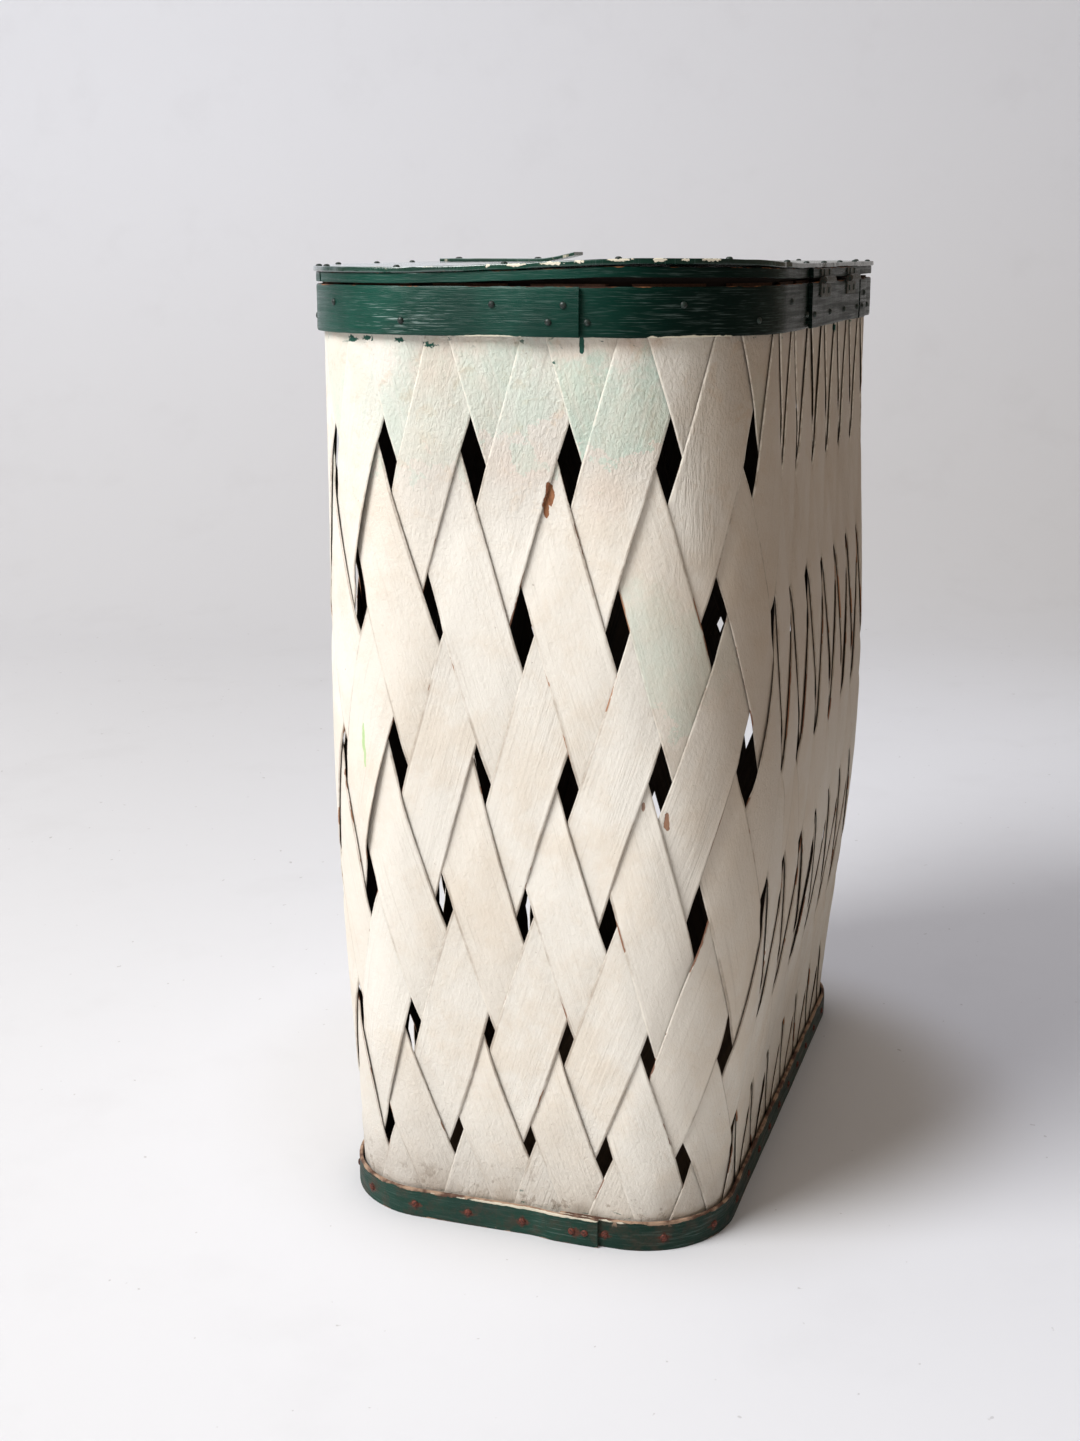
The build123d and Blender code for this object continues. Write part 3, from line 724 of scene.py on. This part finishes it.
def addSplint(number, leansRight, points, faces, grain, edge, kinds):
    start, count = len(points), len(acrossMarks)
    way = 1 if leansRight else -1
    seed = number * splints["seedStep"] + (0.0 if leansRight else splints["leftSeed"])
    low, high = rowAt(splints["endAboveFloor"]), rowAt(wall["height"] + splints["topAboveRim"])
    stations = round((high - low) * splints["stationsPerRow"])
    half, width = splints["thickness"] / 2, splints["width"] * mm
    still, sharpness = splints["stillAtEnds"], splints["foldSharpness"]
    for station in range(stations + 1):
        row = low + (high - low) * station / stations
        z = rowHeight(row)
        free = smoothStep(0, still, z) * smoothStep(0, still, wall["height"] - z)
        reaches = [edgeReach(number, leansRight, row, above) for above in (False, True)]
        stood = stoodOff(number, leansRight, row)
        outer, inner = [], []
        for mark, thick in acrossMarks:
            across = mark * reaches[mark > 0]
            wave = math.cos(math.pi * (row + across * way)) * -way
            fold = math.tanh(sharpness * wave) / math.tanh(sharpness)
            curl = max(0.0, wander(seed, row * 0.8, 20 + 9 * (mark > 0)))
            curl = splints["edgeLift"] * (0.3 + curl * 2.0)
            lift = max(0.0, fold) * abs(mark) ** splints["edgeCurl"] * curl * free
            lift += stood[mark > 0] * abs(mark) ** 3 * (0.25 + 0.75 * max(0.0, fold))
            cup = splints["cup"] * (1 - mark * mark) * fold * free
            own = number + across
            rising, falling = (own, own + row) if leansRight else (own - row, own)
            middle = splints["layer"] * fold + lift + max(0.0, cup)
            outer.append(weavePoint(rising, falling, middle + half * thick))
            inner.append(weavePoint(rising, falling, middle - half * thick))
        points.extend(outer + inner[::-1])
        along = z * splints["slant"] * mm
        line = [(along, mark * width / 2, seed) for mark, _ in acrossMarks]
        grain.extend(line + line[::-1])
        fromEnd = min(z, wall["height"] - z) * mm
        line = [((mark + 1) * width / 2, (1 - mark) * width / 2, fromEnd)
                for mark, _ in acrossMarks]
        edge.extend(line + line[::-1])
    newFaces = ringFaces(2 * count, stations + 1, start)
    for face, corners in enumerate(newFaces):   # the inner face is bare wood
        spot = (face % (2 * count)) if len(corners) == 4 else 0
        kinds.append(1 if count <= spot < 2 * count - 1 else 0)
    faces.extend(newFaces)


def weaveBody():
    for lean, leansRight in (("right", True), ("left", False)):
        for first in range(0, splints["eachWay"], 2):
            data = [[], [], [], [], []]
            for number in (first, first + 1):
                addSplint(number, leansRight, *data)
            label = f"{first // 2 + 1:02d}"
            piece = makePiece(f"splintPair.{lean}.{label}", "basket", *data)
            piece.data.materials.append(materials["cream"])
            piece.data.materials.append(materials["inside"])
            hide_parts(f"splints_leaning_{lean}_{label}")


weaveBody()
print("splints woven")

# Bent laths. wave: how far the edges wander; deepest: how far the face may sink, as it does in
# the groove of a split near the front lap.
laths = {
    "thickness": 2.6, "seat": 0.25, "lap": 27.0, "ramp": 22.0, "innerHoopDrop": 3.0,
    "rimLap": 50.0, "footLap": 58.0, "backLap": 106.0, "backLath": 200.0, "buttGap": 3.0,
    "lidGap": 3.0, "lidHoopHeight": 6.0, "splitAngle": 53.0, "step": 6.0, "round": 0.55,
    "wave": 0.35, "deepest": -0.2, "grooveLength": 84.0, "grooveShare": 0.06,
    "grooveReach": 0.045,
}
# Share of the height up a lath, and how far its corners are rounded there
heightMarks = [
    (0.0, 1.0), (0.02, 0.35), (0.06, 0.0), (0.16, 0.0), (0.3, 0.0), (0.45, 0.0), (0.55, 0.0),
    (0.7, 0.0), (0.84, 0.0), (0.94, 0.0), (0.98, 0.35), (1.0, 1.0),
]


def shrink(section, amount):
    return tuple(size - amount for size in section)


def planPlace(section, distance, out):
    # Point and outward direction at a distance around the outline, from the middle of the near end
    quarter = quarterLength(section)
    corner, along = divmod(distance % (4 * quarter), quarter)
    x, y, angle = quarterPlace(section, along if corner % 2 == 0 else quarter - along, out)
    wayX = 1 if corner in (0, 3) else -1
    wayY = 1 if corner < 2 else -1
    return wayX * x, wayY * y, wayX * math.cos(angle), wayY * math.sin(angle)


def bandInside(name):
    section = (wall[name + "Length"] / 2, wall[name + "Width"] / 2, wall[name + "Corner"])
    return shrink(section, laths["thickness"])


lapLift = laths["thickness"] + laths["seat"]
rimBottom = wall["height"] - wall["rimBandHeight"]
rimInside, footInside = bandInside("rim"), bandInside("foot")
rimTurn, footTurn = turnLength(rimInside), turnLength(footInside)
backLap = quarterLength(rimInside) + laths["backLap"]
backStart = quarterLength(rimInside) - laths["backLath"] / 2
backEnd = quarterLength(rimInside) + laths["backLath"] / 2


def flat(distance):
    return 0.0


def raised(distance):
    return lapLift


def lappedLift(start, end, first=True):
    # Off by a lath's thickness at the laps, with a smooth ramp down
    lap, ramp = laths["lap"], laths["ramp"]

    def lift(distance):
        off = smoothStep(end - lap - ramp, end - lap, distance)
        if first:
            off = max(off, 1 - smoothStep(start + lap, start + lap + ramp, distance))
        return off * lapLift
    return lift


def lathPiece(name, body, section, start, end, liftAt, bottom, height, look, nodes, slot, **extra):
    # liftAt gives how far the lath stands off at a distance. extra: wave, rise and grooved.
    wave, rise = extra.get("wave", laths["wave"]), extra.get("rise", flat)
    grooveStart, grooveEnd = extra.get("grooved", (0.0, 0.0))
    stations = max(8, round((end - start) / laths["step"]))
    points, grain, edge = [], [], []
    seed = start * 0.013 + bottom * 0.37
    for station in range(stations + 1):
        distance = start + (end - start) * station / stations
        fromEnd = min(distance - start, end - distance)
        topShift = wave * wander(distance * 0.021, seed, 1.0)
        topShift += 0.4 * wave * wander(distance * 0.11, seed, 2.0)
        lowShift = wave * wander(distance * 0.018, seed, 5.0)
        lowShift += 0.4 * wave * wander(distance * 0.12, seed, 6.0)
        lift, grooved = liftAt(distance), grooveStart < distance < grooveEnd
        outer, inner = [], []
        for share, rounding in heightMarks:
            z = bottom + height * share + topShift * share + lowShift * (1 - share)
            swellOut = 0.22 * wander(distance * 0.03, share * 2.0, seed)
            swellOut += 0.1 * wander(distance * 0.1, share * 5, seed)
            swellOut = max(laths["deepest"], swellOut)
            if grooved and abs(share - laths["grooveShare"]) < laths["grooveReach"]:
                swellOut = laths["deepest"]
            cut = laths["round"] * rounding
            outside = lift + laths["thickness"] - cut + swellOut
            for row, out in ((outer, outside), (inner, lift + cut)):
                x, y, _, _ = planPlace(section, distance, out)
                row.append((x, y, z + rise(distance)))
        points.extend(outer + inner[::-1])
        line = [(distance * mm, height * share * mm, seed) for share, _ in heightMarks]
        grain.extend(line + line[::-1])
        line = [(height * (1 - share) * mm, height * share * mm, fromEnd * mm)
                for share, _ in heightMarks]
        edge.extend(line + line[::-1])
    faces = ringFaces(2 * len(heightMarks), stations + 1)
    piece = makePiece(name, body, points, faces, grain, edge)
    piece.data.materials.append(materials[look])
    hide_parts(*nodes)


def insideSection(z):
    # The outline that the inner hoop keeps, clear of the splints
    section = wallSection(z)
    clear = splints["layer"] + splints["thickness"] / 2 + laths["seat"]
    sag = (splints["width"] / 2) ** 2 / (8 * section[2])
    return shrink(section, clear + sag + laths["thickness"])


def bandPieces():
    frontEnd, footEnd = rimTurn + laths["rimLap"], footTurn + laths["footLap"]
    rim = (rimBottom, wall["rimBandHeight"], "band")
    lathPiece("rimBand.front", "basket", rimInside, backLap, frontEnd,
              lappedLift(backLap, frontEnd), *rim, ["rim_band_front"], "green_lath",
              grooved=(frontEnd - laths["grooveLength"], frontEnd + 1))
    lathPiece("rimBand.back", "basket", rimInside, laths["rimLap"] - laths["lap"],
              backLap + laths["lap"], flat, *rim, ["rim_band_back"], "green_lath")
    lathPiece("rimBand.hingeLath", "basket", rimInside, backStart, backEnd, raised, *rim,
              ["rim_back_lath"], "green_lath", wave=0.6)
    lathPiece("footBand", "basket", footInside, laths["footLap"] - laths["lap"], footEnd,
              lappedLift(0, footEnd, first=False), 0.0, wall["footBandHeight"], "foot",
              ["foot_band"], "green_lath", wave=0.0)
    hoopBottom = rimBottom + laths["innerHoopDrop"]
    inner, gap = insideSection(hoopBottom), laths["buttGap"] / 2
    top = wall["height"] + laths["lidGap"] + laths["lidHoopHeight"] - 0.3
    lathPiece("rimHoop.inner", "basket", inner, gap, turnLength(inner) - gap, flat, hoopBottom,
              top - hoopBottom, "hoop", ["rim_inner_hoop"], "bare_lath", wave=0.15)


bandPieces()
print("bands bent")

# The lid. Its board has warped: the near end lifts towards the hinge side and dips at the other
# corner. Each warp is a list of (distance around the rim from the middle of the near end, rise),
# each notch a distance around the lid, a reach and a depth.
lid = {
    "overhang": 1.5, "thickness": 3.2, "bottom": 629.0, "outlinePoints": 320,
    "rings": [0.45, 1.2, 3.0, 7.0, 14.0, 26.0, 42.0, 66.0, 92.0, 118.0, 140.0, 151.5],
    "boardWarp": [
        (-400, 0), (-250, -0.6), (-150, -1.4), (-60, -1.5), (-28, -0.7), (4, 0.5), (40, 2.2),
        (64, 3.2), (84, 3.7), (124, 3.5), (156, 2.8), (200, 1.2), (250, 0.2), (300, 0),
    ],
    "hoopWarp": [
        (-400, 0), (-250, -0.7), (-150, -1.6), (-60, -1.6), (-28, -0.9), (4, 0.1), (40, 1.2),
        (64, 2.3), (84, 2.2), (124, 1.9), (156, 1.7), (200, 0.9), (250, 0.1), (300, 0),
    ],
    "notches": [
        (206, 5, 1.6), (-52, 9, 1.2), (30, 6, 0.7), (74, 10, 0.9), (128, 7, 0.8),
        (-120, 6, 0.7), (330, 8, 1.0),
    ],
    "warpReach": 115.0, "nickFade": 0.8, "seed": 3.3,
}
lidTop = lid["bottom"] + lid["thickness"]


def warp(marks, distance):
    around = (distance + rimTurn / 2) % rimTurn - rimTurn / 2
    if not marks[0][0] < around < marks[-1][0]:
        return 0.0
    for (low, first), (high, second) in zip(marks, marks[1:]):
        if around <= high:
            return first + (second - first) * smoothStep(low, high, around)


def boardRise(distance):
    return warp(lid["boardWarp"], distance)


def hoopRise(distance):
    return warp(lid["hoopWarp"], distance)


def ringPoint(section, turn, inset):
    # A point of the outline moved inward; the corners sharpen as they move in
    halfLength, halfWidth, radius = section
    x, y, nx, ny = planPlace(section, turn, 0.0)
    keep = max(radius - inset, 0.01)
    straightX, straightY = halfLength - radius, halfWidth - radius
    if abs(x) > straightX and abs(y) > straightY:
        cx = math.copysign(max(halfLength - inset - keep, 0.0), x)
        cy = math.copysign(max(halfWidth - inset - keep, 0.0), y)
        return cx + nx * keep, cy + ny * keep
    if abs(nx) > 0.5:
        return x - nx * inset, y * (halfWidth - inset - keep) / straightY
    return x * (halfLength - inset - keep) / straightX, y - ny * inset


def nickDepth(turn, level, length):
    # Splits, dents and notches in the board's edge
    nick = max(0.0, wander(turn * 0.09, level * 0.2, 8.0) - 0.3) * 1.4
    for centre, reach, depth in lid["notches"]:
        off = (turn - centre + length / 2) % length - length / 2
        nick += depth * max(0.0, 1 - abs(off) / reach) ** 0.5
    return nick + 0.25 * wander(turn * 0.5, level * 0.6, 2.0)


def lidBoard():
    section = shrink(rimInside, -laths["thickness"] - lid["overhang"])
    length, count, thick = turnLength(section), lid["outlinePoints"], lid["thickness"]
    profile = [(inset, 0.0) for inset in reversed(lid["rings"])]
    profile += [(0.0, 0.4), (-0.1, 1.1), (0.0, thick / 2), (-0.1, 2.3), (0.0, thick - 0.4)]
    profile += [(inset, thick) for inset in lid["rings"]]
    points, grain, edge = [], [], []
    for inset, level in profile:
        fromTop = inset if level == thick else inset + thick - level
        flatter = 1 - 0.9 * smoothStep(0, lid["warpReach"], inset)
        for i in range(count):
            turn = length * i / count
            nick = nickDepth(turn, level, length) * math.exp(-inset * lid["nickFade"])
            x, y = ringPoint(section, turn, inset + nick)
            rise = boardRise(turn * rimTurn / length) * flatter
            rise += 0.25 * wander(x * 0.02, y * 0.02, 4.0) * smoothStep(0, 20, inset)
            points.append((x, y, lid["bottom"] + level + rise))
            grain.append((x * mm, y * mm, lid["seed"]))
            edge.append((fromTop * mm, (inset + level) * mm, 1.0))
    faces = [tuple(reversed(face)) for face in ringFaces(count, len(profile))]
    piece = makePiece("lidBoard", "lid", points, faces, grain, edge)
    piece.data.materials.append(materials["lid"])
    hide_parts("lid_panel")


def hoopRuns():
    # From where to where each hoop runs; they meet at the split near the front corner
    _, halfWidth, radius = rimInside
    gap = laths["buttGap"] / 2
    splitAt = rimTurn - (halfWidth - radius) - math.radians(laths["splitAngle"]) * radius
    return {"front": (rimTurn / 2 + gap, splitAt - gap),
            "back": (splitAt - rimTurn + gap, rimTurn / 2 - gap)}


def lidHoops():
    bottom, height = wall["height"] + laths["lidGap"], laths["lidHoopHeight"] - 0.1
    for label, (start, end) in hoopRuns().items():
        lathPiece(f"lidHoop.{label}", "lid", rimInside, start, end, flat, bottom, height,
                  "band", [f"lid_hoop_{label}"], "green_lath", wave=0.2, rise=hoopRise)
    lathPiece("lidHoop.hingeLath", "lid", rimInside, backStart, backEnd, raised, bottom, height,
              "band", ["lid_back_lath"], "green_lath", wave=0.2)


strap = {
    "width": 22.0, "thickness": 2.2, "start": -135.0, "bend": -58.0, "end": -33.0, "lift": 4.5,
    "step": 3.0, "above": 0.2, "seed": 5.1,
    "marks": [(-1.0, 0.5), (-0.94, 0.0), (-0.5, 0.0), (0.0, 0.0), (0.5, 0.0), (0.94, 0.0),
              (1.0, 0.5)],   # share across, and how far its corners are cut there
}


def pullStrap():
    # Flat and nailed down, then bent up to a square tip
    start, bend, end = strap["start"], strap["bend"], strap["end"]
    marks, half = strap["marks"], strap["width"] / 2
    stations = round((end - start) / strap["step"])
    points, grain, edge = [], [], []
    for station in range(stations + 1):
        y = start + (end - start) * station / stations
        t = max(0.0, (y - bend) / (end - bend))
        z = lidTop + strap["above"] + strap["lift"] * t * (0.6 + 0.4 * t)
        upper, lower = [], []
        for share, cut in marks:
            x = share * half + 0.4 * wander(y * 0.05, share, 2.0)
            uneven = 0.2 * wander(y * 0.06, share * 2, 7.0)
            upper.append((x, y, z + strap["thickness"] - cut + uneven))
            lower.append((x, y, z))
        points.extend(upper + lower[::-1])
        line = [(y * mm, share * half * mm, strap["seed"]) for share, _ in marks]
        grain.extend(line + line[::-1])
        fromEnd = min(y - start, end - y) * mm
        line = [((1 - share) * half * mm, (1 + share) * half * mm, fromEnd) for share, _ in marks]
        edge.extend(line + line[::-1])
    faces = [tuple(reversed(face)) for face in ringFaces(2 * len(marks), stations + 1)]
    piece = makePiece("pullStrap", "lid", points, faces, grain, edge)
    piece.data.materials.append(materials["lid"])
    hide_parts("lid_pull_strap")


lidBoard()
lidHoops()
pullStrap()
print("lid made")

# Nails: hammered heads, each a little different. size: shares of the full head.
nails = {
    "radius": 2.4, "height": 1.3, "sides": 14, "tilt": 0.12, "dents": 0.09,
    "spacingRim": 57.0, "spacingFoot": 38.0, "spacingLid": 66.0, "endInset": 9.0,
    "headWidth": 4.2, "shares": (0.3, 0.64), "footLevel": 9.5,
    "size": {"rim": 0.85, "foot": 1.0, "lid": 0.85, "strap": 1.1},
    "profile": [(1.0, -0.4), (1.0, 0.15), (0.9, 0.55), (0.6, 0.9), (0.25, 1.0)],
}


def spread(first, last, spacing):
    steps = max(1, round((last - first) / spacing))
    return [first + (last - first) * step / steps for step in range(steps + 1)]


def bandPlaces(section, distances, lift, levels):
    places = []
    for number, distance in enumerate(distances):
        x, y, nx, ny = planPlace(section, distance, lift + laths["thickness"])
        places.append(((x, y, levels[number % len(levels)]), (nx, ny, 0.0)))
    return places


def nailHeads(kind, body, places, look, node):
    size, sides = nails["size"][kind], nails["sides"]
    points, faces, grain, edge = [], [], [], []
    for number, (point, out) in enumerate(places):
        out = Vector(out).normalized()
        across = out.orthogonal().normalized()
        other = out.cross(across)
        tilt = nails["tilt"] * wander(number * 3.7, 1.0)
        start = len(points)
        for reach, level in nails["profile"]:
            for side in range(sides):
                angle = 2 * math.pi * side / sides
                cos, sin = math.cos(angle), math.sin(angle)
                dent = nails["dents"] * wander(number * 2.3, cos * 2, sin * 2)
                radius = nails["radius"] * size * reach * (1 + dent)
                rise = nails["height"] * level + tilt * radius * cos
                spot = Vector(point) + (across * cos + other * sin) * radius + out * rise
                points.append(tuple(spot))
                grain.append((number * 0.1, radius * mm, number * 0.7))
                edge.append((0.004, 0.004, 0.004))
        faces.extend(ringFaces(sides, len(nails["profile"]), start))
    piece = makePiece(f"nails.{kind}", body, points, faces, grain, edge)
    piece.data.materials.append(materials[look])
    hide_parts(node)


def bandNails():
    levels = [rimBottom + wall["rimBandHeight"] * share for share in nails["shares"]]
    inset, half, lap = nails["endInset"], nails["headWidth"], laths["lap"]
    clear = lap + laths["ramp"] + half
    frontEnd, footEnd = rimTurn + laths["rimLap"], footTurn + laths["footLap"]
    front = spread(backLap + clear, frontEnd - clear, nails["spacingRim"])
    back = spread(laths["rimLap"] + half, backStart - half, nails["spacingRim"])
    hinged = spread(backStart + inset, backEnd - inset, nails["spacingRim"])
    laps = [backLap + inset, backLap + lap - inset]
    laps += [distance + frontEnd - backLap - lap for distance in laps]
    places = bandPlaces(rimInside, front, 0.0, levels)
    places += bandPlaces(rimInside, back, 0.0, levels)
    places += bandPlaces(rimInside, laps, lapLift, levels)
    places += bandPlaces(rimInside, hinged, lapLift, levels[:1])
    nailHeads("rim", "basket", places, "dark", "rim_nails")
    levels = [nails["footLevel"]]
    single = spread(laths["footLap"] + half, footEnd - clear, nails["spacingFoot"])
    places = bandPlaces(footInside, single, 0.0, levels)
    places += bandPlaces(footInside, [footEnd - inset, footEnd - lap + inset], lapLift, levels)
    nailHeads("foot", "basket", places, "rust", "foot_nails")


def lidNails():
    places = []
    for start, end in hoopRuns().values():
        for distance in spread(start + nails["endInset"], end - nails["endInset"],
                               nails["spacingLid"]):
            x, y, _, _ = planPlace(rimInside, distance, laths["thickness"] / 2)
            places.append(((x, y, lidTop + boardRise(distance)), (0, 0, 1)))
    nailHeads("lid", "lid", places, "dark", "lid_nails")
    over = lidTop + strap["thickness"]
    rows = (strap["start"] + strap["width"] / 2, strap["bend"] - strap["width"] / 4)
    nailHeads("strap", "lid", [((0, y, over), (0, 0, 1)) for y in rows], "dark", "strap_nails")


bandNails()
lidNails()
print("nails driven")

# Construction pieces that keep their own shape get soft edges and a finish
softEdges = {"board": 0.8, "hinge": 0.15, "dark": 0.2, "segments": 2, "angle": 40.0}


def dressNode(node, look):
    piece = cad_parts[node]
    piece.data.materials.clear()
    piece.data.materials.append(materials[look])
    bevel = piece.modifiers.new("softEdges", "BEVEL")
    bevel.width = softEdges[look] * mm
    bevel.segments = softEdges["segments"]
    bevel.limit_method = "ANGLE"
    bevel.angle_limit = math.radians(softEdges["angle"])
    grain = piece.data.attributes.new("grain", "FLOAT_VECTOR", "POINT")
    grain.data.foreach_set("vector", [part for point in piece.data.vertices for part in point.co])


def dressNodes():
    dressNode("base_board", "board")
    for side in ("near", "far"):
        for part in ("leaf_rim", "leaf_lid", "pin"):
            dressNode(f"hinge_{part}_{side}", "hinge")
    for node in ("hinge_nails_rim", "hinge_nails_lid"):
        dressNode(node, "dark")


dressNodes()
print("construction dressed")

# Studio: a pale floor that sweeps up into a pale wall, one large soft lamp from the left. The
# sweep also glows a little, for the camera and for reflections; left and right are the camera's.
studio = {
    "floor": (0.715, 0.72, 0.74, 1.0), "scuff": rgb(150, 144, 138), "dust": rgb(120, 112, 104),
    "roughness": 0.9, "sweepDistance": 1.7, "sweepRadius": 1.1, "sweepSteps": 24,
    "leftWidth": 6.0, "rightWidth": 2.2, "nearEdge": 4.0, "wallTop": 5.0,
    "world": (0.86, 0.715, 0.57, 1.0), "worldStrength": 0.28,
    "outside": (0.52, 0.53, 0.56, 1.0),   # what the camera sees past the sweep
    "glow": (0.87, 0.97, 1.24, 1.0), "glowLeft": 0.14, "glowRight": 0.10, "glowLow": 0.45,
    "glowNear": (0.05, 0.145), "glowFoot": 0.02, "glossyShares": (1.7, 0.1),
    "lampsAim": (0, 0, 0.3),
}
lamps = {
    "key": {"angle": -40.0, "elevation": 44.0, "distance": 4.0, "size": 2.3, "power": 172.0},
    "top": {"angle": -100.0, "elevation": 70.0, "distance": 2.8, "size": 2.2, "power": 6.0},
}
camera = {
    "place": (1.32969, 0.36417, 0.63974), "yaw": 17.77, "pitch": 14.02,
    "focal": 1880.0, "frameHeight": 1441.0, "sensor": 36.0,   # focal and height in pixels
}


def aim(thing, way):
    thing.rotation_mode = "QUATERNION"
    thing.rotation_quaternion = way.to_track_quat("-Z", "Y")


def direction(angle, elevation):
    angle, elevation = math.radians(angle), math.radians(elevation)
    return Vector((math.cos(angle) * math.cos(elevation),
                   math.sin(angle) * math.cos(elevation), math.sin(elevation)))


def makeCamera():
    data = bpy.data.cameras.new("camera")
    data.sensor_width = camera["sensor"]
    data.lens = camera["sensor"] * camera["focal"] / camera["frameHeight"]
    seen = addToScene("camera", data)
    seen.location = camera["place"]
    aim(seen, -direction(camera["yaw"], camera["pitch"]))
    bpy.context.scene.camera = seen


def sweepPaint(side):
    # Matt white with faint scuffs and dust. Its glow is painted light: it varies across the sweep
    # and is faintest just around the hamper
    material, shader = newMaterial("paleSweep")
    where = place()
    up = axes(where)["Z"]
    scuff = fade(cloud(where, 7, 5.0, 0.6), 0.5, 0.75, 0.0, 0.05)
    colour = mixColour(scuff, studio["floor"], studio["scuff"])
    dust = fade(cloud(where, 95, 2.0, 0.5), 0.735, 0.76, 0.0, 0.35)
    give(shader["Base Color"], mixColour(times(dust, fade(up, 0.02, 0.0)), colour, studio["dust"]))
    give(shader["Roughness"], studio["roughness"])
    across = vectorMath("DOT_PRODUCT", {0: where, 1: tuple(side)}, "Value")
    away = vectorMath("LENGTH", {0: where}, "Value")
    glow = fade(across, -1.1, 1.1, studio["glowLeft"], studio["glowRight"])
    glow = times(glow, fade(up, 0.0, 1.0, studio["glowLow"], 1.0))
    near = fade(across, -0.7, 0.3, *studio["glowNear"])
    low = fade(away, 0.22, 0.34, studio["glowFoot"], near)
    share = fade(away, 0.9, 2.4)
    glow = plus(times(glow, share), times(low, minus(1.0, share)))
    path = addNode("LightPath").outputs
    mirrored = times(path["Is Glossy Ray"], fade(across, -0.7, 0.7, *studio["glossyShares"]))
    seen = largest(path["Is Camera Ray"], mirrored)
    give(shader["Emission Strength"], times(glow, seen))
    give(shader["Emission Color"], studio["glow"])
    return material


def makeStage():
    yaw = math.radians(camera["yaw"])
    back = Vector((-math.cos(yaw), -math.sin(yaw), 0))
    side = Vector((-math.sin(yaw), math.cos(yaw), 0))
    distance, radius, steps = studio["sweepDistance"], studio["sweepRadius"], studio["sweepSteps"]
    line = [(-studio["nearEdge"], 0.0), (0.0, 0.0), (distance, 0.0)]
    for step in range(1, steps + 1):
        angle = math.pi / 2 * step / steps
        line.append((distance + radius * math.sin(angle), radius * (1 - math.cos(angle))))
    line.append((line[-1][0], studio["wallTop"]))
    points = [tuple(back * far + side * way + Vector((0, 0, up)))
              for far, up in line for way in (-studio["leftWidth"], studio["rightWidth"])]
    faces = [(i, i + 1, i + 3, i + 2) for i in range(0, len(points) - 2, 2)]
    mesh = bpy.data.meshes.new("studioSweep")
    mesh.from_pydata(points, [], faces)
    mesh.polygons.foreach_set("use_smooth", [True] * len(faces))
    mesh.materials.append(sweepPaint(side))
    sweep = addToScene("studioSweep", mesh)


def addLamp(name, look):
    data = bpy.data.lights.new(name, "AREA")
    data.shape, data.size, data.energy = "DISK", look["size"], look["power"]
    lamp = addToScene(name, data)
    way = direction(look["angle"], look["elevation"])
    lamp.location = Vector(studio["lampsAim"]) + way * look["distance"]
    aim(lamp, -way)


def makeLight():
    world = bpy.data.worlds.new("studio")
    bpy.context.scene.world = world
    world.use_nodes = True
    world.node_tree.nodes.clear()
    making["tree"] = world.node_tree
    lit = {"Color": studio["world"], "Strength": studio["worldStrength"]}
    lit = addNode("Background", lit).outputs[0]
    unseen = addNode("Background", {"Color": studio["outside"], "Strength": 1.0}).outputs[0]
    byCamera = addNode("LightPath").outputs["Is Camera Ray"]
    mixed = addNode("MixShader", {0: byCamera, 1: lit, 2: unseen}).outputs[0]
    addNode("OutputWorld", {"Surface": mixed})
    for name, look in lamps.items():
        addLamp(name + "Lamp", look)


makeCamera()
makeStage()
makeLight()
bpy.context.scene.view_settings.view_transform = "Standard"
print("studio set")
